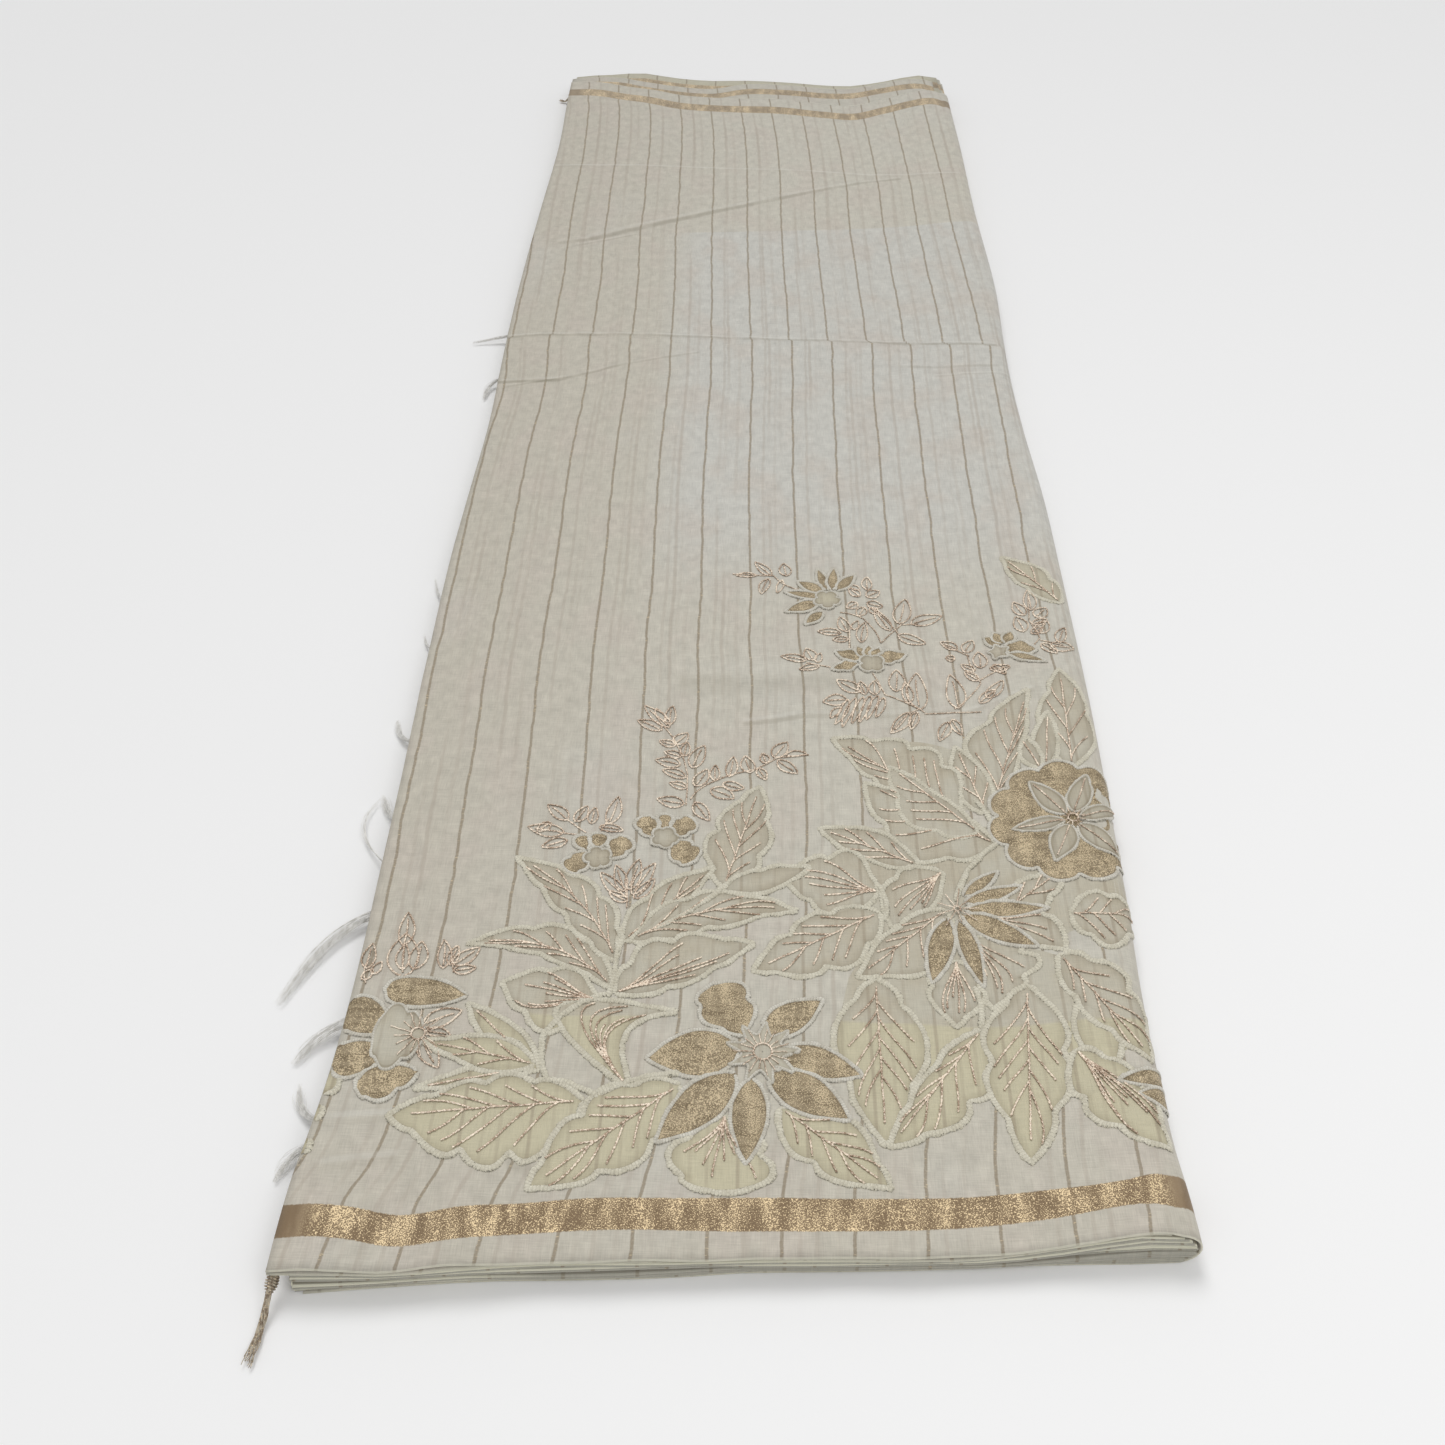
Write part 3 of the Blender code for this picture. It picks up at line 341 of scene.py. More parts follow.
TUCKS = table(
    "x y",
    (-184, 105.5), (-150, 110.5), (-120, 113.0), (-90, 113.0), (-62, 111.0), (-5, 109.2), (52, 107.4),
    (80, 106.6), (108, 105.0), (137, 101.0), (165, 97.0), (190, 93.5),
)
# The pressed folds, painted into the colour as a thin line of shade with a line of highlight beside it, where
# the mesh is too coarse to shade such fine creases.
FOLD_LINES = table(
    "x0 y0 x1 y1 width dark light",
    (-184, 105.5, -150, 110.5, 1.1, 0.35, 0.60),
    (-150, 110.5, -90, 113, 1.1, 0.32, 0.60),
    (-90, 113, -5, 109.2, 1.1, 0.28, 0.60),
    (-5, 109.2, 80, 106.6, 1.1, 0.28, 0.60),
    (80, 106.6, 137, 101, 1.1, 0.42, 0.60),
    (137, 101, 172, 96, 1.1, 0.35, 0.60),
    (-158, 253, -133, 261, 2.0, 0.36, 0.30),
    (-133, 261, -75, 294, 2.7, 0.52, 0.40),
    (-75, 294, -37, 313, 2.7, 0.50, 0.38),
    (-37, 313, 41, 350, 2.4, 0.44, 0.32),
    (41, 350, 87, 371, 2.0, 0.36, 0.30),
    (87, 371, 122, 377, 1.4, 0.35, 0.30),
    (-150, 246, -96, 272, 1.2, 0.25, 0.30),
    (-175, 395, -102, 398, 1.3, 0.05, 0.75),
    (-102, 398, 47, 392, 1.3, 0.05, 0.65),
    (47, 392, 122, 381, 1.3, 0.08, 0.65),
    (122, 381, 173, 378, 1.3, 0.08, 0.70),
    (-4, -288, 28, -281, 1.6, 0.34, 0.40),
    (28, -281, 70, -281, 1.5, 0.24, 0.24),
    (70, -281, 112, -276, 1.5, 0.20, 0.22),
    (-179, 45, -136, 50, 1.5, 0.55, 0.30),
    (-136, 50, -95, 71, 1.3, 0.40, 0.20),
    (-95, 71, -40, 90, 1.1, 0.28, 0.15),
    (-172, 40, -128, 55, 0.9, 0.30, 0.20),
    (102, 72, 171, 68, 1.6, 0.25, 0.15),
    (125, 59, 182, 58, 1.0, 0.15, 0.45),
    (-176, -528, -134, -523, 1.8, 0.14, 0.60),
    (-172, -548, -140, -543, 1.8, 0.10, 0.40),
    (-96, -542, -78, -548, 3.0, 0.25, 0.20),
    (-40, -258, 62, -255, 7.0, 0.20, 0.10),
    (100, -284, 152, -262, 1.3, 0.15, 0.50),
)
NEAR_BAND = table(
    "x upper lower",
    (-185, -563.0, -577.0), (-160, -563.0, -576.5), (-135, -566.0, -579.0), (-110, -562.0, -575.5),
    (-90, -560.0, -573.0), (-60, -557.0, -570.5), (-30, -556.0, -569.5), (0, -555.0, -569.2),
    (40, -554.6, -568.2), (65, -553.8, -567.2), (90, -552.4, -565.2), (120, -549.4, -561.6),
    (150, -546.8, -557.4), (162, -544.2, -557.2), (172, -546.0, -559.6), (186, -550.0, -563.6),
)
NEAR_FOOT = table(
    "x y",
    (-182, -592.4), (-170, -592.7), (-148, -590.4), (-103, -586.4), (-71, -585.2), (-28, -583.2),
    (-5, -580.9), (42, -579.2), (85, -577.2), (115, -575.0), (152, -573.7), (180, -572.0),
)


def press_relief(x, y):
    """Ridges and small steps that pressing and folding left in the cloth."""
    height = np.zeros_like(x * y)
    for row in PRESSES:
        dx, dy = row.x1 - row.x0, row.y1 - row.y0
        length = math.hypot(dx, dy)
        share = np.clip(((x - row.x0) * dx + (y - row.y0) * dy) / length**2, 0, 1)
        wander = 0.8 * np.sin(share * length / 13.0) + 0.5 * np.sin(share * length / 5.3 + row.y0)
        side = ((y - row.y0) * dx - (x - row.x0) * dy) / length + wander
        past = np.hypot(x - row.x0 - share * dx, y - row.y0 - share * dy)
        past = np.where((share > 0) & (share < 1), 0.0, past)
        faded = np.exp(-(past / (2.2 * row.width)) ** 2)
        uneven = 0.65 + 0.35 * np.sin(share * length / 21.0 + row.x0)
        ridge = row.ridge * uneven * np.exp(-(side / row.width) ** 2)
        step = row.step * side / row.width * np.exp(-(side / (1.7 * row.width)) ** 2)
        height += (ridge + step) * faded
    return height


def slack(x, y):
    """The soft unevenness of thin cloth that lies on other folds."""
    low = 0.10 * np.sin(x / 17.0 + 1.7 * np.sin(y / 61.0)) * np.sin(y / 29.0 + 0.9)
    fine = 0.05 * np.sin(x / 6.1 + y / 33.0) * np.sin(y / 14.0 + x / 41.0)
    hem = np.exp(-((y + 585) / 26.0) ** 2) * 0.28 * np.sin(x / 9.5 + 0.6 * np.sin(x / 23.0))
    return low + fine + hem


def top_face(x, y):
    """Height of the top stretch's upper face, without its applique."""
    return crown(x, y) + ripple_lift(x, y) + press_relief(x, y) + slack(x, y)


def set_inputs(node, inputs):
    """Links or sets a node's inputs."""
    for name, value in inputs.items():
        if isinstance(value, bpy.types.NodeSocket):
            node.id_data.links.new(value, node.inputs[name])
        else:
            node.inputs[name].default_value = value


def add_node(kind, inputs, tree=None, **settings):
    """A shader node with its options and inputs, in the tree that its linked inputs come from."""
    linked = [value for value in inputs.values() if isinstance(value, bpy.types.NodeSocket)]
    node = (tree or linked[0].id_data).nodes.new(kind)
    for name, value in settings.items():
        setattr(node, name, value)
    set_inputs(node, inputs)
    return node


def calc(operation, *values):
    """The result of one Math node."""
    return add_node("ShaderNodeMath", dict(enumerate(values)), operation=operation).outputs[0]


def times(product, *others):
    """The product of several values."""
    for other in others:
        product = calc("MULTIPLY", product, other)
    return product


def scaled(value, factor, base):
    """A value times a factor, on top of a base."""
    return calc("MULTIPLY_ADD", value, factor, base)


def swing(value, amount, middle):
    """A value between 0 and 1, spread by an amount round another middle."""
    return scaled(calc("SUBTRACT", value, 0.5), amount, middle)


def vectors(operation, *values):
    """The outputs of one Vector Math node."""
    return add_node("ShaderNodeVectorMath", dict(enumerate(values)), operation=operation).outputs


def split(place):
    """The x, y and z of a place."""
    return add_node("ShaderNodeSeparateXYZ", {0: place}).outputs


def fade(value, start, end):
    """A smooth mask that goes from 0 at one value to 1 at another, which may be the lower one."""
    inputs = {"Value": value, "From Min": start, "From Max": end}
    return add_node("ShaderNodeMapRange", inputs, interpolation_type="SMOOTHSTEP").outputs[0]


def tint(share, first, second):
    """A mix of two colours."""
    return add_node("ShaderNodeMix", {0: share, 6: first, 7: second}, data_type="RGBA").outputs[2]


def dull(colour, tone):
    """A colour that a tone near 1 makes lighter or darker."""
    grey_and_shade = add_node("ShaderNodeCombineXYZ", {0: tone, 1: tone, 2: tone}).outputs[0]
    inputs = {0: 1.0, 6: colour, 7: grey_and_shade}
    return add_node("ShaderNodeMix", inputs, data_type="RGBA", blend_type="MULTIPLY").outputs[2]


def measure(tree, name):
    """A value that the mesh carries at its points."""
    return add_node("ShaderNodeAttribute", {}, tree, attribute_name=name).outputs["Fac"]


def millimetres(tree):
    """The place on the object in millimetres."""
    place = add_node("ShaderNodeTexCoord", {}, tree).outputs["Object"]
    return add_node("ShaderNodeVectorMath", {0: place, "Scale": 1000.0}, operation="SCALE").outputs[0]


def noise_of(place, x_scale, y_scale, z_scale, detail=2.0, shift=0.0):
    """Noise whose scale differs by direction, from a place in millimetres."""
    stretched = vectors("MULTIPLY_ADD", place, (x_scale, y_scale, z_scale), (shift, shift, shift))[0]
    return add_node("ShaderNodeTexNoise", {"Vector": stretched, "Scale": 1.0, "Detail": detail}).outputs[0]


def bumps(height, strength, depth):
    """The normal of a surface with small heights, whose depth is in metres."""
    inputs = {"Strength": strength, "Distance": depth, "Height": height}
    return add_node("ShaderNodeBump", inputs).outputs[0]


def new_group(name, inputs, outputs):
    """An empty shader node group, in which an input without a value is a vector."""
    group = bpy.data.node_groups.new(name, "ShaderNodeTree")
    for label, value in inputs.items():
        kind = "NodeSocketVector" if value is None else "NodeSocketFloat"
        socket = group.interface.new_socket(label, in_out="INPUT", socket_type=kind)
        if value is not None:
            socket.default_value = value
    for label in outputs:
        group.interface.new_socket(label, in_out="OUTPUT", socket_type="NodeSocketFloat")
    return group, group.nodes.new("NodeGroupInput").outputs, group.nodes.new("NodeGroupOutput")


def use_group(group, inputs):
    """The outputs of a group that is used in a tree."""
    return add_node("ShaderNodeGroup", inputs, node_tree=group).outputs


def new_material(name):
    """A material, with its node tree and its Principled shader."""
    material = bpy.data.materials.new(name)
    material.use_nodes = True
    return material, material.node_tree, material.node_tree.nodes["Principled BSDF"]


weave_group, given, result = new_group(
    "plain_weave",
    {"Place": None, "Thread Pitch": 0.5, "Slub": 0.5},
    ("Height", "Tone"),
)
x, y, _ = split(given["Place"])
turns = calc("DIVIDE", 2 * math.pi, given["Thread Pitch"])
threads = times(calc("SINE", times(x, turns)), calc("SINE", times(y, turns)))
warp_slub = noise_of(given["Place"], 2.2, 0.12, 0.0)
weft_slub = noise_of(given["Place"], 0.12, 2.2, 0.0, 2.0, 40.0)
slubs = times(calc("SUBTRACT", calc("ADD", warp_slub, weft_slub), 1.0), given["Slub"])
set_inputs(result, {"Height": scaled(threads, 0.2, slubs), "Tone": calc("ADD", slubs, 0.5)})

glint_group, given, result = new_group(
    "zari_glints",
    {"Place": None, "Grain": 1.4, "Cover": 0.5},
    ("Glint", "Tone"),
)
grains = add_node("ShaderNodeVectorMath", {0: given["Place"], "Scale": given["Grain"]}, operation="SCALE")
sparks = add_node("ShaderNodeTexNoise", {"Vector": grains.outputs[0], "Scale": 1.0, "Detail": 1.0})
patches = noise_of(given["Place"], 0.16, 0.05, 0.0, 3.0, 12.0)
threshold = calc("SUBTRACT", swing(patches, -0.44, 0.59), times(given["Cover"], 0.12))
above = calc("SUBTRACT", sparks.outputs[0], threshold)
set_inputs(result, {"Glint": fade(above, 0.0, 0.05), "Tone": patches})

# A pressed fold painted into the colour: a dark line of painted shade along it and a light line of painted
# highlight beside it.
fold_group, given, result = new_group(
    "pressed_fold_line",
    {
        "Place": None, "Start": None, "End": None, "Width": 1.0, "Dark": 0.5, "Light": 0.5,
        "Sway": 0.5, "Broken": 1.0, "Other Lines": 0.0,
    },
    ("Lines",),
)
flat_place = vectors("MULTIPLY", given["Place"], (1.0, 1.0, 0.0))[0]
from_start = vectors("SUBTRACT", flat_place, given["Start"])[0]
axis = vectors("SUBTRACT", given["End"], given["Start"])[0]
length = vectors("LENGTH", axis)["Value"]
along = calc("DIVIDE", vectors("DOT_PRODUCT", from_start, axis)["Value"], length)
aside = calc("DIVIDE", split(vectors("CROSS_PRODUCT", axis, from_start)[0])[2], length)
aside = swing(given["Sway"], 3.2, aside)
within = times(fade(along, -1.5, 1.5), fade(calc("SUBTRACT", length, along), -1.5, 1.5))
within = times(within, scaled(given["Broken"], 0.6, 0.4))
across_dark = calc("DIVIDE", calc("ABSOLUTE", aside), given["Width"])
dark = times(fade(across_dark, 1.6, 0.25), within, given["Dark"])
beside = calc("ABSOLUTE", calc("SUBTRACT", calc("DIVIDE", aside, given["Width"]), 2.1))
light = times(fade(beside, 1.3, 0.2), within, given["Light"], 0.5)
this_line = calc("SUBTRACT", light, dark)
set_inputs(result, {"Lines": calc("ADD", given["Other Lines"], this_line)})


def woven_cloth(name, shade, ghosts, fold_lines):
    """Cream tissue cotton with its stripes, its zari bands, its pressed folds and what shows through, with
    painted glints on the zari, painted shade and highlight along the folds, painted shadow and light at the
    layers' hems, and mottling that is partly painted shade of crumples.
    """
    material, tree, shader = new_material(name)
    place = millimetres(tree)
    weave = use_group(weave_group, {"Place": place, "Thread Pitch": 0.55, "Slub": 0.8})
    x, y, _ = split(place)
    clouds = noise_of(place, 0.011, 0.007, 0.0, 3.0, 5.0)
    blotches = noise_of(place, 0.035, 0.022, 0.0, 4.0, 9.0)
    colour = tint(times(fade(x, -190.0, 30.0), fade(y, -620.0, -420.0)), CREAM_LEFT, CREAM)
    below_line = scaled(x, -0.055, y)
    cool = times(fade(below_line, 281.5, 279.0), fade(y, -210.0, -90.0), fade(x, -80.0, -35.0), 0.90)
    cool = calc("MAXIMUM", cool, times(fade(clouds, 0.50, 0.75), 0.35))
    colour = tint(cool, colour, CREAM_COOL)
    colour = tint(times(fade(blotches, 0.44, 0.66), 0.45), colour, CREAM_WARM)
    # Patchy tone a few millimetres across, partly painted light and shade of small crumples.
    colour = dull(colour, swing(noise_of(place, 0.16, 0.13, 0.0, 4.0, 77.0), 0.38, 1.0))
    colour = tint(measure(tree, "olive"), colour, CLOTH_OLIVE)
    # Grey tint, which is also painted shade on shaded hems and on the second stretch's left end.
    colour = tint(measure(tree, "grey_and_shade"), colour, CLOTH_GREY)
    colour = dull(colour, swing(weave["Tone"], 0.42, shade))

    turn = swing(noise_of(place, 0.02, 0.07, 0.0, 3.0), 0.07, measure(tree, "stripe"))
    for offset, lean, width, strength in ghosts:
        beside = calc("PINGPONG", calc("ADD", turn, scaled(y, lean, offset)), 0.5)
        near = fade(beside, width / STRIPE_PITCH, 0.3 * width / STRIPE_PITCH)
        seen = fade(noise_of(place, 0.03, 0.006, 0.0, 1.0, 30.0 * offset), 0.36, 0.62)
        colour = tint(times(near, seen, strength), colour, GHOST_BROWN)
    grain = noise_of(place, 1.5, 0.9, 1.0, 1.0)
    width = scaled(grain, 0.014, 0.027)
    stripe = fade(calc("PINGPONG", turn, 0.5), width, times(width, 0.45))
    stripe = times(stripe, scaled(grain, 0.45, 0.50))
    # Painted glints on the zari stripes.
    fleck = fade(noise_of(place, 0.4, 1.4, 1.0, 1.0, 3.0), 0.62, 0.72)
    colour = tint(stripe, colour, STRIPE_BROWN)
    colour = tint(times(stripe, fleck, 0.5), colour, GOLD_GLINT)

    # The zari bands, with painted glints on them.
    glints = use_group(glint_group, {"Place": place, "Grain": 2.1, "Cover": 0.45})
    worked = measure(tree, "worked_band")
    shine = times(glints["Glint"], worked)
    flecks = fade(noise_of(place, 1.1, 1.1, 1.1, 1.0, 60.0), 0.56, 0.66)
    # Lighter in broad patches: painted sheen where the band catches the light.
    band_colour = tint(fade(glints["Tone"], 0.35, 0.65), BAND_TAN, BAND_SHEEN)
    band_colour = tint(times(flecks, worked, 0.5), band_colour, BAND_DARK)
    band_colour = tint(times(shine, 0.8), band_colour, GOLD_GLINT)
    band_colour = tint(times(fade(y, 300.0, 500.0), 0.25), band_colour, BAND_FAR)
    ragged = noise_of(place, 0.9, 0.9, 0.0, 1.0)
    band = 0.0
    for label in ("near_band", "far_band"):
        edge = swing(ragged, 0.06, measure(tree, label))
        band = calc("MAXIMUM", band, times(fade(edge, -0.02, 0.03), fade(edge, 1.02, 0.97)))
    colour = tint(band, colour, band_colour)
    metal = times(band, shine, 0.6)

    # Painted shade and painted highlight along the pressed folds.
    lines = 0.0
    sway = noise_of(place, 0.05, 0.05, 0.0, 3.0, 21.0)
    broken = fade(noise_of(place, 0.05, 0.05, 0.0, 2.0, 3.0), 0.28, 0.56)
    for row in fold_lines:
        lines = use_group(fold_group, {
            "Place": place, "Start": (row.x0, row.y0, 0.0), "End": (row.x1, row.y1, 0.0),
            "Width": row.width, "Dark": row.dark, "Light": row.light,
            "Sway": sway, "Broken": broken, "Other Lines": lines,
        })["Lines"]
    if fold_lines:
        colour = tint(calc("MAXIMUM", lines, 0.0), colour, CREASE_HIGHLIGHT)
        colour = tint(calc("MAXIMUM", times(lines, -1.0), 0.0), colour, CREASE_SHADE)
    from_hem = measure(tree, "from_hem")
    # Painted shadow a little in from each lower layer's near hem, where the layer above overhangs it.
    gap = times(fade(from_hem, 0.4, 0.9), measure(tree, "layer_gap_shadow"), fade(y, -550.0, -560.0))
    colour = tint(gap, colour, GAP_SHADOW)
    # A pale line along each hem: the paler selvedge, and on the stack's shaded front also painted light.
    colour = tint(times(fade(from_hem, 0.9, 0.35), measure(tree, "hem_paleness_and_light"), 0.5), colour, HEM_PALE_AND_LIT)

    crumple = noise_of(place, 0.075, 0.060, 0.0, 5.0, 31.0)
    height = scaled(times(glints["Glint"], band), 0.8, scaled(crumple, 9.0, weave["Height"]))
    set_inputs(shader, {
        "Base Color": colour, "Metallic": metal, "Roughness": scaled(metal, -0.45, 0.82),
        "Normal": bumps(height, 0.45, 0.0003), "Sheen Weight": 0.12, "Sheen Roughness": 0.5,
    })
    return material


def new_piece(name, points, faces, measures, material):
    """A smooth piece from points in millimetres, with values that its points carry."""
    mesh = bpy.data.meshes.new(name)
    mesh.from_pydata((points * MM).tolist(), [], faces.tolist())
    for label, values in measures.items():
        layer = mesh.attributes.new(label, "FLOAT", "POINT")
        layer.data.foreach_set("value", values.astype(np.float32))
    mesh.shade_smooth()
    mesh.materials.append(material)
    piece = bpy.data.objects.new(name, mesh)
    bpy.context.scene.collection.objects.link(piece)
    return piece


def sheet_mesh(name, points, material, measures):
    """A piece whose points lie in rows and columns."""
    rows, columns = points.shape[:2]
    first = np.arange((rows - 1) * columns).reshape(rows - 1, columns)[:, :-1]
    quads = np.stack([first, first + 1, first + columns + 1, first + columns], -1).reshape(-1, 4)
    measures = {label: np.broadcast_to(values, (rows, columns)).ravel() for label, values in measures.items()}
    return new_piece(name, points.reshape(-1, 3), quads, measures, material)


def thicken(piece, thick):
    """Gives a sheet its thickness, on the side away from its normals."""
    shell = piece.modifiers.new("cloth_thickness", "SOLIDIFY")
    shell.thickness = thick * MM
    shell.offset = -1.0
    shell.use_quality_normals = True


def lean_of(x, y):
    """How far the stripes stand to the side of their even places, on either side of the tuck."""
    beyond = y > through(TUCKS, "y", x)
    place = np.clip((x - STRIPE_FIRST) / (3 * STRIPE_PITCH), 0, 4)
    lean = 0.0
    for index, column in enumerate(("left", "inner_left", "middle", "inner_right", "right")):
        share = np.clip(1 - np.abs(place - index), 0, 1)
        lean = lean + share * np.where(beyond, through(LEANS_FAR, column, y), through(LEANS_NEAR, column, y))
    return lean


FOLD_END = TOP_RUN + FOLD_RUN
top_s = np.concatenate([
    np.linspace(0, TOP_RUN, 93),
    TOP_RUN + FOLD_RUN * np.arange(1, 13) / 12,
    FOLD_END + BOTTOM_RUN * np.arange(1, 19) / 18,
])
row_share = np.concatenate([
    np.linspace(0, 0.585, 160),
    np.linspace(0.5855, 0.612, 42),
    np.linspace(0.6155, 1, 105),
])
hem_x = across(np.minimum(top_s, TOP_RUN), -580.0)
far_x = across(np.minimum(top_s, TOP_RUN), 560.0)
fold_share = np.clip((top_s - TOP_RUN) / FOLD_RUN, 0, 1)
back_share = np.clip((top_s - FOLD_END) / BOTTOM_RUN, 0, 1)
under_x = fold_start(-580.0) + (BOTTOM_LEFT - fold_start(-580.0)) * back_share
near_y = through(HEMS, "near", hem_x) * (1 - fold_share)
near_y += (through(NEAR_FOOT, "y", under_x) + 0.5) * fold_share
near_y += np.where(top_s < TOP_RUN, 0.35 * np.sin(top_s / 8.0) * np.sin(top_s / 31.0), 0.0)
far_y = through(HEMS, "top", far_x) + 12.0 * fold_share + 22.0 * back_share
Y = near_y[None, :] + (far_y - near_y)[None, :] * row_share[:, None]
S = np.broadcast_to(top_s, Y.shape)
flat_x = across(np.minimum(S, TOP_RUN), Y)
edge_x = fold_start(Y)
half = 0.5 * top_face(edge_x, Y)
turned = math.pi * np.clip((S - TOP_RUN) / FOLD_RUN, 0, 1)
on_top = S <= TOP_RUN
above_ground = S <= FOLD_END
X = np.where(on_top, flat_x, edge_x + FOLD_REACH * np.sin(turned))
X = np.where(above_ground, X, edge_x + (BOTTOM_LEFT - edge_x) * (S - FOLD_END) / BOTTOM_RUN)
Z = np.where(on_top, top_face(flat_x, Y), half + half * np.cos(turned))
Z = np.where(above_ground, Z, 0.0)
past_fold = np.maximum(S - TOP_RUN, 0)
stripe_at = (flat_x - STRIPE_FIRST - lean_of(flat_x, Y) + past_fold) / STRIPE_PITCH
band_low = through(NEAR_BAND, "lower", flat_x)
band_high = through(NEAR_BAND, "upper", flat_x)
worked = np.clip((S - 9) / 6, 0, 1) * np.clip((346 - S) / 5, 0, 1)
top_cloth = sheet_mesh(
    "top_cloth",
    np.stack([X, Y, Z], -1),
    woven_cloth("striped_tissue_cotton", 1.0, GHOSTS, FOLD_LINES),
    {
        "stripe": stripe_at,
        "near_band": (Y - band_low) / (band_high - band_low),
        "far_band": (far_y[None, :] - Y - FAR_BAND_INSET) / FAR_BAND_WIDTH,
        "worked_band": worked,
        "from_hem": np.minimum(Y - near_y[None, :], far_y[None, :] - Y),
        "hem_paleness_and_light": np.ones_like(Y),
    },
)
thicken(top_cloth, CLOTH_THICK)
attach(top_cloth, "root")
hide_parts("top_layer")

# The second stretch, just below the top one. It is the same cloth, and shows its far hem with its own
# zari band behind the top's, and a thin line of its near hem.
SECOND_THICK = 0.5
SECOND_DOWN = 1.55
SECOND_GHOSTS = ((0.47, 0.0, 1.8, 0.3),)
LOWER_BAND_INSET = 12.0
LOWER_BAND_WIDTH = 14.0

second_s = np.concatenate([np.linspace(0, 330, 60), np.linspace(332, 341, 5)])
hem_x = across(second_s, -580.0)
far_x = across(second_s, 590.0)
near_y = through(HEMS, "near", hem_x) + 0.3 - 0.9 * np.clip(np.sin(second_s / 37.0 + 1.0), -0.2, 1)
far_y = through(HEMS, "second", far_x)
rows = np.concatenate([np.linspace(0, 0.05, 8), np.linspace(0.07, 0.9, 40), np.linspace(0.91, 1, 34)])
Y = near_y[None, :] + (far_y - near_y)[None, :] * rows[:, None]
S = np.broadcast_to(second_s, Y.shape)
X = across(S, Y)
droop = np.clip((Y - through(HEMS, "top", X)) / 20.0, 0, 1)
Z = crown(X, Y) - SECOND_DOWN - 0.4 * droop * (1 - 0.5 * np.sin(X / 19.0))
stripe_at = (X - STRIPE_FIRST - lean_of(X, Y) - 9.0) / STRIPE_PITCH
second_cloth = sheet_mesh(
    "second_cloth",
    np.stack([X, Y, Z], -1),
    woven_cloth("striped_tissue_cotton_below", 0.95, SECOND_GHOSTS, ()),
    {
        "stripe": stripe_at,
        "near_band": (Y - near_y[None, :] - LOWER_BAND_INSET) / LOWER_BAND_WIDTH,
        "far_band": (far_y[None, :] - Y - LOWER_BAND_INSET) / (LOWER_BAND_WIDTH - 1),
        "worked_band": np.ones_like(Y),
        "from_hem": np.minimum(Y - near_y[None, :], far_y[None, :] - Y),
        "hem_paleness_and_light": np.ones_like(Y),
        # Painted shade: greyer towards the left end, where this stretch lies in shade.
        "grey_and_shade": np.broadcast_to(0.5 * np.clip(1 - second_s / 14, 0, 1), Y.shape),
    },
)
thicken(second_cloth, SECOND_THICK)
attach(second_cloth, "root")
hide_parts("second_layer")

# The layers below, one length of the same cloth laid to and fro. Only their edges show: thin hems that
# lie a little in or out of each other in five bundles, with painted shadow in the gaps between and painted
# light on the pale hems, small folds at the left, and the round turns at the right.
LAYERS = 13
LAYER_THICK = 0.42
LAYERS_DOWN = SECOND_DOWN + 0.8
LAYER_GAP_SHADOW = 0.55
STEPS_ACROSS = 22
NEAR_STEPS = [0.7, 0.5, 0.6, -0.4, -0.1, -0.3, 0.9, 1.2, 0.9, -0.9, -0.6, -0.6, -0.3]
FAR_STEPS = [22, 17, 21, 12, 15, 8, 11, 6, 3, 7, 1, 4, 0]
LEVELS = [0.04, 0.11, 0.18, 0.28, 0.35, 0.42, 0.52, 0.59, 0.66, 0.76, 0.83, 0.92, 0.98]
BUNDLES = np.array([0, 0, 0, 1, 1, 1, 2, 2, 2, 3, 3, 4, 4])
LOWEST_OF_BUNDLES = [0, 3, 6, 9, 11]
OLIVE_OF = np.array([0.6, 0.25, 0.7, 0.25, 0.5])
GREY_OF = np.array([0.1, 0.0, 0.35, 0.0, 0.0])

path = []
for layer in range(LAYERS):
    forward = layer % 2 == 0
    end, sign = (1.0, 1.0) if forward else (0.0, -1.0)
    shares = np.linspace(1 - end, end, STEPS_ACROSS)
    path += [(layer, share, 0.0) for share in shares]
    if layer < LAYERS - 1:
        path += [(layer + turn, end, sign * math.sin(math.pi * turn)) for turn in (0.25, 0.5, 0.75)]
path_layer, path_share, path_turn = np.array(path).T
level = np.interp(path_layer, np.arange(LAYERS), LEVELS)
near_step = np.interp(path_layer, np.arange(LAYERS), NEAR_STEPS)
far_step = np.interp(path_layer, np.arange(LAYERS), FAR_STEPS)
low = path_layer.astype(int)
bundle = BUNDLES[low]
rough_x = -172 + 340 * path_share
calm = np.clip((165 - rough_x) / 60, 0.25, 1)
wander = 0.5 * np.sin(rough_x / 19.0 + 2.1 * bundle) * np.sin(rough_x / 71.0 + 1.3 * bundle + 1.0)
hem_y = through(HEMS, "near", rough_x) + 0.2
near_y = hem_y + (through(NEAR_FOOT, "y", rough_x) - hem_y) * (1 - level) + (near_step + wander) * calm
far_y = through(HEMS, "third", rough_x) - far_step * (0.64 + 0.24 * np.sin(rough_x / 50.0 + 1.3 * low))
# Painted shade: the two lowest bundles lie in shade right of x = -80, and the lowest layer of each bundle is
# painted grey as a dark line of shade.
in_shade = (bundle < 2) * np.clip((rough_x + 105) / 25, 0, 1)
lowest = np.isin(low, LOWEST_OF_BUNDLES)
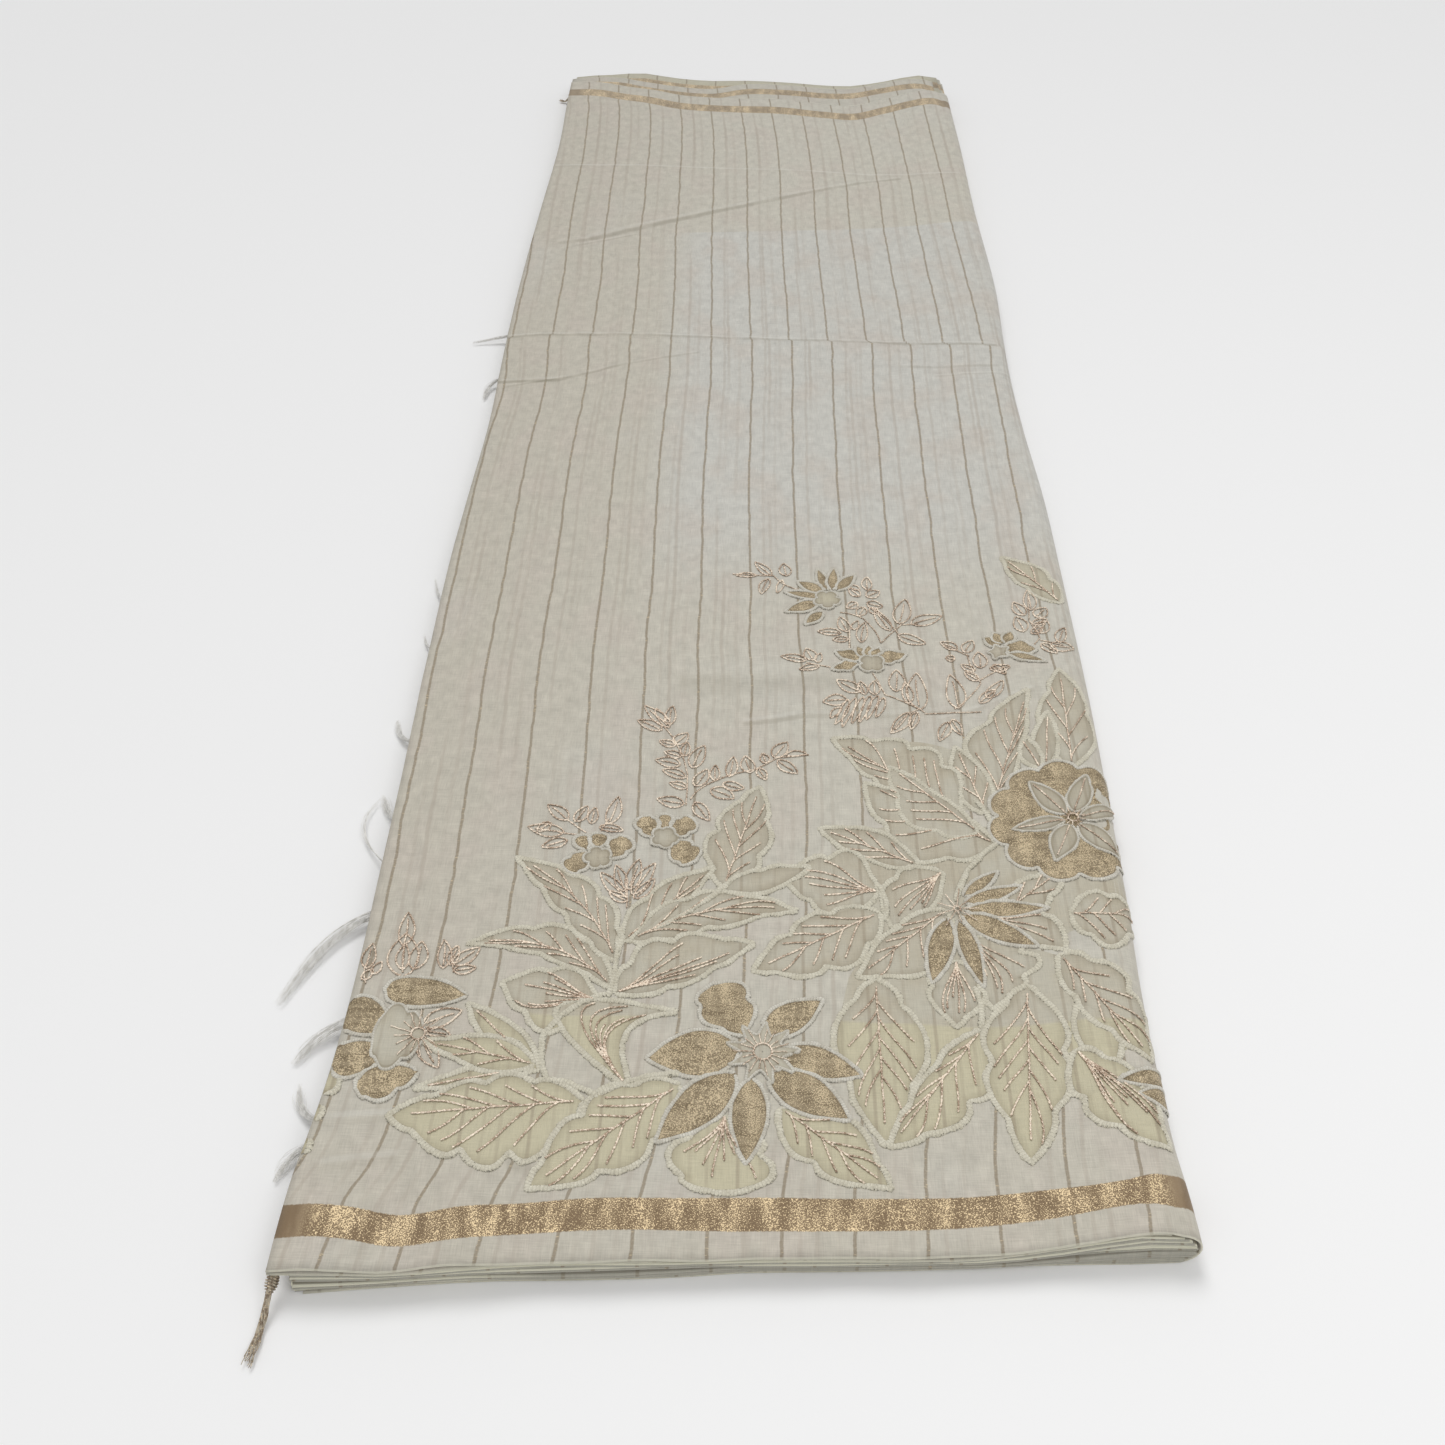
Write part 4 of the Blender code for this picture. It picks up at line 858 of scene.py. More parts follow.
# How strongly each hem is painted pale as light on the shaded front: weak on each bundle's lowest layer and
# where the hems lie in shade.
hem_pale_and_lit = np.where(lowest, 0.2, 1.7 - 1.4 * in_shade)
hem_grey_and_shade = np.maximum(np.where(lowest, 0.8, GREY_OF[bundle]), 0.75 * in_shade)
rows = np.concatenate([np.linspace(0, 0.03, 8), np.linspace(0.06, 0.94, 26), np.linspace(0.95, 1, 10)])
Y = near_y[None, :] + (far_y - near_y)[None, :] * rows[:, None]
left = left_edge(Y) + through(SIDES, "inset", Y)
right = fold_start(Y)
bulge = (FOLD_REACH - 2.2) * np.sin(math.pi * level)[None, :] ** 0.7
X = left + (right + bulge - left) * path_share[None, :]
ceiling = crown(X, Y) - LAYERS_DOWN
ground = CLOTH_THICK + 0.25
Z = ground + (ceiling - ground) * level[None, :]
pitch = (ceiling - ground) / LAYERS
X = X + 0.5 * pitch * path_turn[None, :]
Z = Z + 0.12 * pitch * np.sin(X / 23.0 + 2.3 * path_layer[None, :]) * np.sin(math.pi * path_share)[None, :]
stripe_at = (X - STRIPE_FIRST - 8.3 * np.sin(4.0 * bundle + 1.0)[None, :]) / STRIPE_PITCH
layered_cloth = sheet_mesh(
    "layered_cloth",
    np.stack([X, Y, Z], -1),
    woven_cloth("striped_tissue_cotton_layers", 1.0, (), ()),
    {
        "stripe": stripe_at,
        "near_band": (Y - near_y[None, :] - LOWER_BAND_INSET) / LOWER_BAND_WIDTH,
        "far_band": (far_y[None, :] - Y - LOWER_BAND_INSET) / LOWER_BAND_WIDTH,
        "worked_band": np.ones_like(Y),
        "olive": np.broadcast_to(OLIVE_OF[bundle], Y.shape),
        "grey_and_shade": np.broadcast_to(hem_grey_and_shade, Y.shape),
        "layer_gap_shadow": np.full_like(Y, LAYER_GAP_SHADOW),
        "from_hem": np.minimum(Y - near_y[None, :], far_y[None, :] - Y),
        "hem_paleness_and_light": np.where(Y < 0, hem_pale_and_lit, 0.6),
    },
)
thicken(layered_cloth, LAYER_THICK)
layered_cloth.modifiers["cloth_thickness"].offset = 0.0
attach(layered_cloth, "root")
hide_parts("hidden_layers")

# The organza leaves. Each is a patch of thin, slightly tan organza laid on the cloth; the stripes show
# through it, and nearest the border it lies over a paler, yellower layer. Three broad, plain patches lie
# flat under the leaves at the right, where the cloth between them is organza too.
Patch = namedtuple(
    "Patch",
    "base_x base_y tip_x tip_y left right lobes pointed veins fan bend",
    defaults=(0, True, 0, False, 0.0),
)
LEAVES = [Patch(*row) for row in (
    (176, -190, 147, -147, 9, 12, 2, True, 2),
    (163, -321, 167, -246, 14, 15, 2, True, 3),
    (150, -320, 156, -280, 7, 6, 0, True, 1),
    (147, -321, 138, -293, 6, 5, 0, True, 1),
    (120, -347, 148, -262, 22, 6, 3, True, 4),
    (117, -350, 106, -303, 10, 9, 0, True, 2),
    (104, -348, 43, -298, 12, 26, 4, True, 5),
    (120, -370, 58, -329, 30, 8, 2, True, 4),
    (112, -362, 71, -317, 20, 5, 2, True, 4),
    (81, -382, 34, -360, 9, 11, 1, True, 3),
    (61, -399, 17, -391, 19, 22, 2, True, 3, True),
    (61, -411, 2, -446, 19, 14, 3, True, 4),
    (92, -386, 66, -420, 8, 19, 1, True, 3, True),
    (92, -409, 49, -448, 19, 9, 2, True, 4),
    (102, -424, 108, -464, 26, 7, 3, True, 5, True),
    (94, -438, 91, -473, 13, 13, 2, True, 3, True),
    (112, -413, 144, -434, 18, 5, 1, True, 3, True),
    (118, -411, 149, -387, 8, 10, 2, True, 2),
    (148, -414, 184, -415, 13, 18, 2, True, 3),
    (148, -460, 153, -500, 10, 9),
    (140, -436, 172, -492, 17, 10, 3, True, 4),
    (57, -449, 57, -531, 20, 19, 2, True, 5),
    (102, -474, 58, -532, 19, 7, 3, True, 4),
    (124, -452, 115, -538, 18, 19, 3, True, 5),
    (140, -486, 171, -533, 12, 16, 3, True, 4, True),
    (14, -515, 58, -550, 14, 14, 2, True, 4),
    (-12, -398, 5, -332, 16, 14, 3, True, 4),
    (-12, -400, 29, -385, 8, 7, 1),
    (-57, -431, -17, -386, 12, 6, 2, True, 3),
    (-54, -431, 22, -411, 12, 11, 3, True, 4, False, 0.11),
    (-59, -460, 2, -431, 20, 8, 3, True, 3, True),
    (-60, -457, -128, -435, 6, 13, 3, True, 4, False, -0.15),
    (-60, -442, -112, -383, 11, 12, 4, True, 4, False, -0.09),
    (-66, -464, -109, -456, 20, 14, 2, True, 4, True),
    (-50, -507, -31, -469, 22, 12, 0, True, 3, True, 0.60),
    (-88, -498, -140, -510, 4, 5, 0, True, 1),
    (-88, -500, -123, -467, 8, 7, 1, True, 1),
    (-90, -497, -139, -487, 8, 9, 1, True, 2),
    (-68, -514, -148, -523, 27, 15, 4, True, 5),
    (-28, -505, -87, -554, 18, 18, 3, True, 5),
    (-9, -519, -12, -553.5, 21, 20, 2, False, 4, True),
    (-190, -505, -171, -510, 6, 5, 0, False),
    (-188, -520, -175, -523, 4, 4, 0, False),
    (-190, -536, -177, -538, 4, 4, 0, False),
)]
UNDER_LEAVES = [Patch(*row) for row in (
    (148, -352, 62, -312, 14, 24, 0, False),
    (182, -398, 34, -398, 38, 42, 0, False),
    (178, -470, 42, -462, 42, 40, 0, False),
)]
ORGANZA_TAN = (0.500, 0.452, 0.345, 1.0)
ORGANZA_GREY = (0.535, 0.502, 0.405, 1.0)
ORGANZA_YELLOW = (0.580, 0.535, 0.368, 1.0)
ORGANZA_RIM_SHADE = (0.225, 0.180, 0.110, 1.0)
STRIPE_BELOW = (0.330, 0.270, 0.190, 1.0)
STRIPES_BELOW = ((0.18, 0.5), (0.62, 0.25), (0.86, 0.2))
YELLOW_BELOW = -472.0
WIDEST_RIM = 8.0
LEAF_HEIGHT = 0.10
LEAF_STEP = 0.006
UNDER_HEIGHT = 0.05
UNDER_STEP = 0.01


def lay(x, y, height):
    """A place at a height above the top cloth, which goes on round its right-hand fold."""
    start = fold_start(y)
    turn = math.pi * np.clip((x - start) / FOLD_RUN, 0, 0.95)
    half = 0.5 * top_face(start, y)
    flat_x = np.maximum(np.minimum(x, start), left_edge(y) + 0.4)
    round_x = start + (FOLD_REACH + height) * np.sin(turn)
    round_z = half + (half + height) * np.cos(turn)
    flat_z = top_face(flat_x, y) + height
    return np.where(x <= start, flat_x, round_x), np.where(x <= start, flat_z, round_z)


def spine(row, t):
    """The middle line of a patch at shares of its length, and the direction of its left side."""
    base = np.array([row.base_x, row.base_y], float)
    axis = np.array([row.tip_x, row.tip_y], float) - base
    length = math.hypot(*axis)
    side = np.array([-axis[1], axis[0]]) / length
    bow = row.bend * length * 4 * t * (1 - t)
    return base + axis * t[:, None] + side * bow[:, None], side


def fullness(row, t):
    """How broad a patch is along its length, as a share of its full breadth."""
    if row.pointed:
        return np.abs(np.sin(math.pi * t**0.8)) ** 0.85
    return np.maximum(1 - np.abs(2 * t**1.5 - 1) ** 2.4, 0) ** 0.5


def scallop(t, lobes, phase):
    """Rounded lobes that meet in small notches."""
    if not lobes:
        return np.ones_like(t)
    return 1.04 - 0.27 * (1 - np.abs(np.sin(math.pi * (lobes * t + phase)))) ** 1.5


def reaches(row, t):
    """How far a patch reaches to the left and the right of its middle line."""
    full = fullness(row, t)
    phase = 0.5 * math.sin(3.1 * row.base_x + row.tip_y)
    left = row.left * full * scallop(t, row.lobes, phase)
    right = row.right * full * scallop(t, row.lobes, 0.45 - phase)
    return left, right


def outline_of(row, steps=32):
    """A patch's closed outline, clockwise."""
    t = np.linspace(0, 1, steps + 1)
    middle, side = spine(row, t)
    left, right = reaches(row, t)
    there = middle + side * left[:, None]
    back = middle - side * right[:, None]
    return np.concatenate([there, back[-2:0:-1]])


def inside(outline, points):
    """Which points lie within a closed outline."""
    start = outline[:, None, :]
    end = np.roll(outline, -1, axis=0)[:, None, :]
    crosses = (start[..., 1] > points[None, :, 1]) != (end[..., 1] > points[None, :, 1])
    rise = np.where(end[..., 1] == start[..., 1], 1e-9, end[..., 1] - start[..., 1])
    cut = start[..., 0] + (points[None, :, 1] - start[..., 1]) / rise * (end[..., 0] - start[..., 0])
    return (crosses & (points[None, :, 0] < cut)).sum(0) % 2 == 1


def patch_grid(row, height, steps=28, under=False):
    """A patch's points in rows across it, and how far each lies in from its edge."""
    t = np.linspace(0, 1, steps + 1)
    middle, side = spine(row, t)
    left, right = reaches(row, t)
    shares = np.linspace(-1, 1, 33) if under else np.array([-1, -0.88, -0.7, -0.4, 0, 0.4, 0.7, 0.88, 1.0])
    reach = np.where(shares > 0, left[:, None], right[:, None])
    plan = middle[:, None, :] + side * (reach * shares)[..., None]
    puff = 0.0 if under else 0.12 * (1 - shares**2) * fullness(row, t)[:, None]
    x, z = lay(plan[..., 0], plan[..., 1], height + puff)
    inwards = np.full(x.shape, WIDEST_RIM) if under else (1 - np.abs(shares)) * reach
    return np.stack([x, plan[..., 1], z], -1), {"rim": np.minimum(inwards, WIDEST_RIM)}


def join_grids(name, grids, material):
    """One piece from many small sheets, with the values that their points carry."""
    points, faces, values, count = [], [], {}, 0
    for grid, carried in grids:
        rows, columns = grid.shape[:2]
        first = np.arange((rows - 1) * columns).reshape(rows - 1, columns)[:, :-1] + count
        faces.append(np.stack([first, first + columns, first + columns + 1, first + 1], -1).reshape(-1, 4))
        points.append(grid.reshape(-1, 3))
        for label, numbers in carried.items():
            values.setdefault(label, []).append(np.broadcast_to(numbers, (rows, columns)).ravel())
        count += rows * columns
    values = {label: np.concatenate(numbers) for label, numbers in values.items()}
    return new_piece(name, np.concatenate(points), np.concatenate(faces), values, material)


def organza_material(name, yellow_below):
    """Thin tan organza with darker rims, partly where it lies doubled and partly painted shade of the cords
    beside it; the cloth's stripes show through it.
    """
    material, tree, shader = new_material(name)
    place = millimetres(tree)
    weave = use_group(weave_group, {"Place": place, "Thread Pitch": 0.6, "Slub": 0.7})
    x, y, _ = split(place)
    clouds = fade(noise_of(place, 0.05, 0.04, 0.0, 3.0), 0.35, 0.65)
    colour = tint(clouds, ORGANZA_TAN, ORGANZA_GREY)
    uneven_y = scaled(noise_of(place, 0.015, 0.0, 0.0, 1.0), 8.0, y)
    yellow = fade(uneven_y, yellow_below + 5.0, yellow_below + 3.0)
    yellow = calc("MAXIMUM", yellow, times(fade(y, -190.0, -186.0), 0.4))
    colour = tint(times(yellow, 0.85), colour, ORGANZA_YELLOW)
    for phase, strength in STRIPES_BELOW:
        line = calc("PINGPONG", scaled(x, 1 / STRIPE_PITCH, scaled(y, 0.00012, phase)), 0.5)
        colour = tint(times(fade(line, 0.04, 0.012), strength), colour, STRIPE_BELOW)
    # Darker along the rims: painted shade beside the raised cords, over the doubled organza there.
    rim = measure(tree, "rim")
    rim_shade = calc("MAXIMUM", times(fade(rim, 6.5, 0.0), 0.35), times(fade(rim, 2.6, 1.2), 0.6))
    colour = tint(rim_shade, colour, ORGANZA_RIM_SHADE)
    colour = dull(colour, swing(weave["Tone"], 0.45, 1.0))
    height = scaled(noise_of(place, 0.3, 0.3, 0.0, 3.0), 2.0, weave["Height"])
    set_inputs(shader, {
        "Base Color": colour, "Normal": bumps(height, 0.5, 0.0004), "Roughness": 0.6, "Sheen Weight": 0.15,
    })
    return material


leaf_heights = [LEAF_HEIGHT + LEAF_STEP * k for k in range(len(LEAVES))]
leaf_outlines = [outline_of(row) for row in LEAVES]
organza = organza_material("leaf_organza", YELLOW_BELOW)
leaf_grids = [patch_grid(row, UNDER_HEIGHT + UNDER_STEP * k, 60, True) for k, row in enumerate(UNDER_LEAVES)]
leaf_grids += [patch_grid(row, z) for row, z in zip(LEAVES, leaf_heights)]
leaf_patches = join_grids("organza_leaves", leaf_grids, organza)
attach(leaf_patches, "root")

# The gold flowers. Their petals are cut from gold tissue and lie over the leaves, slightly wrinkled; the
# largest has one scalloped round of tissue below its star.
PETALS = [Patch(*row) for row in (
    (-3, -487, -43, -493, 12, 12),
    (-1, -480, -16, -454, 12.5, 12.5, 2, False),
    (7, -479, 33, -461, 8.5, 8),
    (13, -488, 49, -499, 8.5, 8),
    (9, -499, 43, -520, 10, 9),
    (2, -501, 0, -541, 8, 8),
    (-5, -499, -37, -532, 10, 9.5),
    (-124, -463, -161, -461, 8, 8, 0, False),
    (-155, -482, -177, -469, 10, 9, 0, False),
    (-154, -491, -177, -500, 9, 9, 0, False),
    (-139, -502, -164, -511, 8.5, 8, 2, False),
    (101, -401, 119, -386, 3.6, 3.6),
    (101, -405, 129, -396, 4.2, 4.2),
    (101, -409, 139, -409.5, 5, 5),
    (99, -412, 132, -431, 6, 6.5),
    (97, -415, 105, -453, 5, 4.5),
    (92, -414, 82, -451, 6.5, 6),
    (-79, -377, -83, -368, 4, 4, 0, False),
    (-74, -376, -73, -366, 4.6, 4.6, 0, False),
    (-67, -382, -60, -368, 6.2, 6.2, 2, False),
    (-78, -378, -87, -391, 6, 6, 2, False),
    (-47, -368, -53, -354, 5.6, 5.6, 2, False),
    (-42, -364, -42, -352, 3.8, 3.8, 0, False),
    (-39, -367, -28, -355, 6.2, 6.2, 2, False),
    (-39, -370, -26, -382, 7.8, 7.8, 2, False),
    (41, -178, 26, -168, 4.4, 4.4),
    (43, -176, 38, -156, 3.4, 3.4),
    (46, -176, 48, -155, 3.6, 3.6),
    (49, -176, 60, -161, 3.8, 3.8),
    (41, -183, 18, -178, 3.4, 3.4),
    (38, -187, 19, -196, 4.8, 4.8),
    (40, -196, 30, -207, 3.8, 3.8),
    (61, -236, 46, -230, 5, 5, 2),
    (63, -235, 58, -225, 3.4, 3.4),
    (65, -235, 65, -224, 3.4, 3.4),
    (67, -235, 71, -226, 3.4, 3.4),
    (69, -237, 86, -231, 6, 5, 2),
    (58, -240, 44, -245, 4.4, 4.4, 2),
    (138, -225, 129, -218, 4, 4),
    (139, -224, 135, -214, 3.8, 3.8),
    (141, -224, 145, -214, 3.8, 3.8),
    (140, -227, 157, -231, 6.5, 6.5, 2),
    (142, -233, 161, -241, 3, 3),
    (182, -499, 155, -502, 4.5, 4.5),
    (184, -510, 162, -508, 5, 5),
)]
Round = namedtuple("Round", "x y inner outer points first sharp")
GOLD_ROUND = Round(156, -356, 33.5, 39.5, 11, 107, False)
PETAL_HEIGHT = 0.50
PETAL_STEP = 0.004
TISSUE_BROWN = (0.215, 0.162, 0.091, 1.0)
TISSUE_TAN = (0.365, 0.290, 0.183, 1.0)
TISSUE_GLINT = (0.800, 0.660, 0.440, 1.0)
TISSUE_RIM_SHADE = (0.130, 0.095, 0.055, 1.0)


def round_outline(row, steps=144):
    """The outline of a round patch with scallops, or of a star."""
    angle = np.linspace(0, -2 * math.pi, steps + 1)[:-1]
    wave = np.abs(np.sin(0.5 * row.points * (angle - math.radians(row.first))))
    swell = (1 - wave) ** 1.2 if row.sharp else wave**0.5
    reach = row.inner + (row.outer - row.inner) * swell
    return np.stack([row.x + reach * np.cos(angle), row.y + reach * np.sin(angle)], 1)


def round_grid(row, height):
    """A round patch's points in rings."""
    outline = round_outline(row)
    outline = np.concatenate([outline, outline[:1]])
    shares = np.array([1.0, 0.93, 0.8, 0.5, 0.02])
    middle = np.array([row.x, row.y])
    plan = middle + (outline[:, None, :] - middle) * shares[None, :, None]
    x, z = lay(plan[..., 0], plan[..., 1], height)
    rim = np.minimum((1 - shares) * row.outer, WIDEST_RIM)[None, :]
    return np.stack([x, plan[..., 1], z], -1), {"rim": rim}


tissue, tree, shader = new_material("gold_tissue")
place = millimetres(tree)
weave = use_group(weave_group, {"Place": place, "Thread Pitch": 0.7, "Slub": 1.0})
glint = use_group(glint_group, {"Place": place, "Grain": 2.0, "Cover": 0.6})["Glint"]
# Lighter and darker streaks along the rumples: painted light and shade of the tissue's wrinkles.
rumple = noise_of(place, 0.09, 0.34, 0.0, 3.0, 7.0)
colour = tint(fade(rumple, 0.34, 0.68), TISSUE_BROWN, TISSUE_TAN)
# Painted glints on the gold tissue.
colour = tint(times(glint, 0.8), colour, TISSUE_GLINT)
# Painted shade within about 2 mm of each petal's edge, beside its cord.
colour = tint(times(fade(measure(tree, "rim"), 2.2, 0.4), 0.5), colour, TISSUE_RIM_SHADE)
height = scaled(rumple, 5.0, weave["Height"])
set_inputs(shader, {
    "Base Color": colour, "Metallic": scaled(glint, 0.4, 0.2), "Roughness": 0.5,
    "Normal": bumps(height, 0.6, 0.0005),
})

petal_heights = [PETAL_HEIGHT + PETAL_STEP * k for k in range(len(PETALS))]
petal_outlines = [outline_of(row, 22) for row in PETALS]
gold_grids = [round_grid(GOLD_ROUND, PETAL_HEIGHT - PETAL_STEP)]
gold_grids += [patch_grid(row, z, 18) for row, z in zip(PETALS, petal_heights)]
gold_petals = join_grids("gold_petals", gold_grids, tissue)
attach(gold_petals, "root")

# The flowers' stars. Small petals and rounds of the same organza lie on the gold ones, round each
# flower's middle, and are sewn down along their edges.
STAR_PETALS = [Patch(*row) for row in (
    (155, -353, 140, -330, 6, 6, 0, True, 1),
    (159, -352, 169, -327, 6, 6, 0, True, 1),
    (161, -356, 184, -347, 4.5, 4.5, 0, True, 1),
    (154, -357, 128, -361, 4.2, 4.2, 0, True, 1),
    (156, -360, 146, -382, 6.5, 6.5, 0, True, 1),
    (160, -360, 178, -379, 6.2, 6.2, 0, True, 1),
    (-139, -485, -161.5, -484, 16.5, 15.5, 2, False),
)]
STAR_ROUNDS = [Round(*row) for row in (
    (6.5, -488.5, 9, 16.5, 9, 5, True),
    (43, -185, 5.5, 8, 5, 20, False),
    (66, -240, 5.0, 7.5, 4, 0, False),
    (136, -231, 4, 6.5, 5, 30, True),
    (-73, -382, 5, 7, 5, 0, False),
    (-41.5, -368, 5, 7, 5, 30, False),
)]
STAR_HEIGHT = 0.84
STAR_STEP = 0.006
NOWHERE_YELLOW = -900.0

star_heights = [STAR_HEIGHT + STAR_STEP * k for k in range(len(STAR_PETALS) + len(STAR_ROUNDS))]
star_outlines = [outline_of(row, 20) for row in STAR_PETALS] + [round_outline(row, 90) for row in STAR_ROUNDS]
star_grids = [patch_grid(row, z, 16) for row, z in zip(STAR_PETALS, star_heights)]
star_grids += [round_grid(row, z) for row, z in zip(STAR_ROUNDS, star_heights[len(STAR_PETALS):])]
star_organza = organza_material("star_organza", NOWHERE_YELLOW)
star_patches = join_grids("star_petals", star_grids, star_organza)
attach(star_patches, "root")

# The couched cords. Soft cream yarn is laid all round each leaf and held with close cross stitches, and
# a thinner, greyer one goes round each gold petal and each star.
Cord = namedtuple("Cord", "width height step")
LEAF_CORD = Cord(3.1, 0.62, 0.8)
PETAL_CORD = Cord(2.2, 0.50, 0.7)
STAR_CORD = Cord(1.7, 0.42, 0.6)
CORD_INSET = 0.8
CORD_OVERLAP = 0.8
CORD_SINK = 0.05
SHORTEST_CORD = 5
STALK_HEIGHT = 0.55
LEAF_SEED = 11
STALK_SEED = 170
PETAL_SEED = 211
STAR_SEED = 411
CREAM_YARN = ((0.690, 0.655, 0.535, 1.0), (0.590, 0.552, 0.435, 1.0))
GREY_YARN = ((0.700, 0.672, 0.590, 1.0), (0.570, 0.535, 0.450, 1.0))
STITCH_GAP = (0.300, 0.260, 0.190, 1.0)
Stalk = namedtuple("Stalk", "x0 y0 x1 y1 bow", defaults=(0.0,))
STALKS = [Stalk(*row) for row in (
    (-60, -428, -62, -462, 0.04),
    (-62, -460, -88, -482, -0.10),
    (-88, -480, -84, -505, -0.08),
    (-84, -504, -62, -512, 0.05),
    (-62, -511, -26, -500, 0.08),
    (61, -394, 63, -416, 0.10),
    (122, -368, 97, -404, -0.10),
    (118, -364, 134, -384, 0.06),
    (101, -452, 101, -474, 0.08),
    (112, -340, 120, -366, 0.06),
    (-12, -397, -44, -424, 0.05),
)]


def spaced(points, step, closed):
    """The same line with points a step apart, and its length up to each."""
    if closed:
        points = np.concatenate([points, points[:1]])
    length = np.concatenate([[0], np.cumsum(np.hypot(*np.diff(points, axis=0).T))])
    at = np.linspace(0, length[-1], max(3, int(round(length[-1] / step))) + 1)
    return np.stack([np.interp(at, length, points[:, 0]), np.interp(at, length, points[:, 1])], 1), at


def uncovered(line, covers, margin, shortest):
    """The runs of a line's points that no later patch covers."""
    hidden = line[:, 0] < left_edge(line[:, 1]) + CORD_INSET
    for cover in covers:
        if (cover.min(0) < line.max(0)).all() and (cover.max(0) > line.min(0)).all():
            middle = cover.mean(0)
            reach = np.maximum(np.hypot(*(cover - middle).T), 1e-6)[:, None]
            hidden |= inside(middle + (cover - middle) * np.maximum(1 - margin / reach, 0.1), line)
    runs, start = [], None
    for k, covered in enumerate(np.append(hidden, True)):
        if not covered and start is None:
            start = k
        elif covered and start is not None:
            if k - start >= shortest:
                runs.append(slice(start, k))
            start = None
    return runs


def sideways(line):
    """Unit vectors to the left of a line at each of its points."""
    ahead = np.gradient(line, axis=0)
    ahead /= np.maximum(np.hypot(ahead[:, 0], ahead[:, 1]), 1e-9)[:, None]
    return np.stack([-ahead[:, 1], ahead[:, 0]], 1)


def cord_grid(line, at, cord, base, seed):
    """A couched yarn's points, seven across, uneven along its way and with soft ends."""
    rng = np.random.default_rng(seed)
    knots = np.arange(at[0] - 5, at[-1] + 10, 1.3)
    fine = np.interp(at, knots, rng.uniform(-1, 1, len(knots)))
    knots = np.arange(at[0] - 9, at[-1] + 18, 4.6)
    slow = np.interp(at, knots, rng.uniform(-1, 1, len(knots)))
    ends = np.clip(np.minimum(at - at[0], at[-1] - at) / (0.6 * cord.width), 0.2, 1) ** 0.5
    wide = 0.5 * cord.width * (1 + 0.13 * fine + 0.12 * slow) * ends
    tall = (base + cord.height * (1 + 0.16 * fine + 0.20 * slow)) * ends
    side = sideways(line)
    angles = np.linspace(0, math.pi, 7)
    middle = line + side * (0.32 * slow + 0.16 * fine)[:, None]
    plan = middle[:, None, :] + side[:, None, :] * (wide[:, None] * np.cos(angles))[..., None]
    rise = tall[:, None] * np.abs(np.sin(angles)) ** 0.75 - 0.06
    x, z = lay(plan[..., 0], plan[..., 1], rise)
    return np.stack([x, plan[..., 1], z], -1), {"along": at[:, None], "aside": np.linspace(-1, 1, 7)[None, :]}


def cords_round(outlines, heights, covers, cord, seed):
    """Cords round outlines, wherever no later patch covers them."""
    grids = []
    for index, outline in enumerate(outlines):
        line, at = spaced(outline, cord.step, True)
        for run in uncovered(line, outlines[index + 1:] + covers, CORD_OVERLAP, SHORTEST_CORD):
            grids.append(cord_grid(line[run], at[run], cord, heights[index] - CORD_SINK, seed + index))
    return grids


stitch_group, given, result = new_group(
    "couching_stitches",
    {"Along": 0.0, "Aside": 0.0, "Pitch": 0.8, "Place": None},
    ("Height", "Gap", "Tone", "Cover"),
)
fuzz = noise_of(given["Place"], 1.5, 1.5, 1.5, 2.0)
slant = scaled(fuzz, 0.9, scaled(given["Aside"], 0.3, given["Along"]))
thread = calc("PINGPONG", calc("DIVIDE", slant, given["Pitch"]), 0.5)
margin = calc("SUBTRACT", 1.0, calc("ABSOLUTE", given["Aside"]))
set_inputs(result, {
    "Height": scaled(fuzz, 0.9, thread),
    "Gap": times(fade(thread, 0.2, 0.0), fade(fuzz, 0.38, 0.52)),
    "Tone": scaled(fuzz, 0.75, 0.62),
    "Cover": fade(swing(fuzz, 2.6, margin), 0.0, 0.28),
})


def yarn_material(name, pale, shade, pitch, gap_share):
    """Soft spun yarn with cross stitches over it and frayed edges."""
    material, tree, shader = new_material(name)
    place = millimetres(tree)
    along, aside = measure(tree, "along"), measure(tree, "aside")
    stitches = use_group(stitch_group, {"Along": along, "Aside": aside, "Pitch": pitch, "Place": place})
    patchy = fade(noise_of(place, 0.16, 0.16, 0.0, 3.0), 0.3, 0.7)
    colour = dull(tint(patchy, shade, pale), stitches["Tone"])
    colour = tint(times(stitches["Gap"], gap_share), colour, STITCH_GAP)
    set_inputs(shader, {
        "Base Color": colour, "Alpha": stitches["Cover"], "Roughness": 0.9, "Sheen Weight": 0.3,
        "Normal": bumps(stitches["Height"], 0.7, 0.0004),
    })
    return material


cream_yarn = yarn_material("cream_couched_yarn", *CREAM_YARN, 1.5, 0.45)
grey_yarn = yarn_material("pale_couched_yarn", *GREY_YARN, 1.2, 0.6)

gold_outlines = [round_outline(GOLD_ROUND)] + petal_outlines
upper_outlines = gold_outlines + star_outlines
leaf_cord_grids = cords_round(leaf_outlines, leaf_heights, upper_outlines, LEAF_CORD, LEAF_SEED)
for index, row in enumerate(STALKS):
    stalk = Patch(row.x0, row.y0, row.x1, row.y1, 0, 0, bend=row.bow)
    line, _ = spine(stalk, np.linspace(0, 1, 16))
    line, at = spaced(line, LEAF_CORD.step, False)
    for run in uncovered(line, upper_outlines, CORD_OVERLAP, SHORTEST_CORD):
        leaf_cord_grids.append(cord_grid(line[run], at[run], LEAF_CORD, STALK_HEIGHT, STALK_SEED + index))
leaf_cords = join_grids("leaf_cords", leaf_cord_grids, cream_yarn)
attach(leaf_cords, "root")

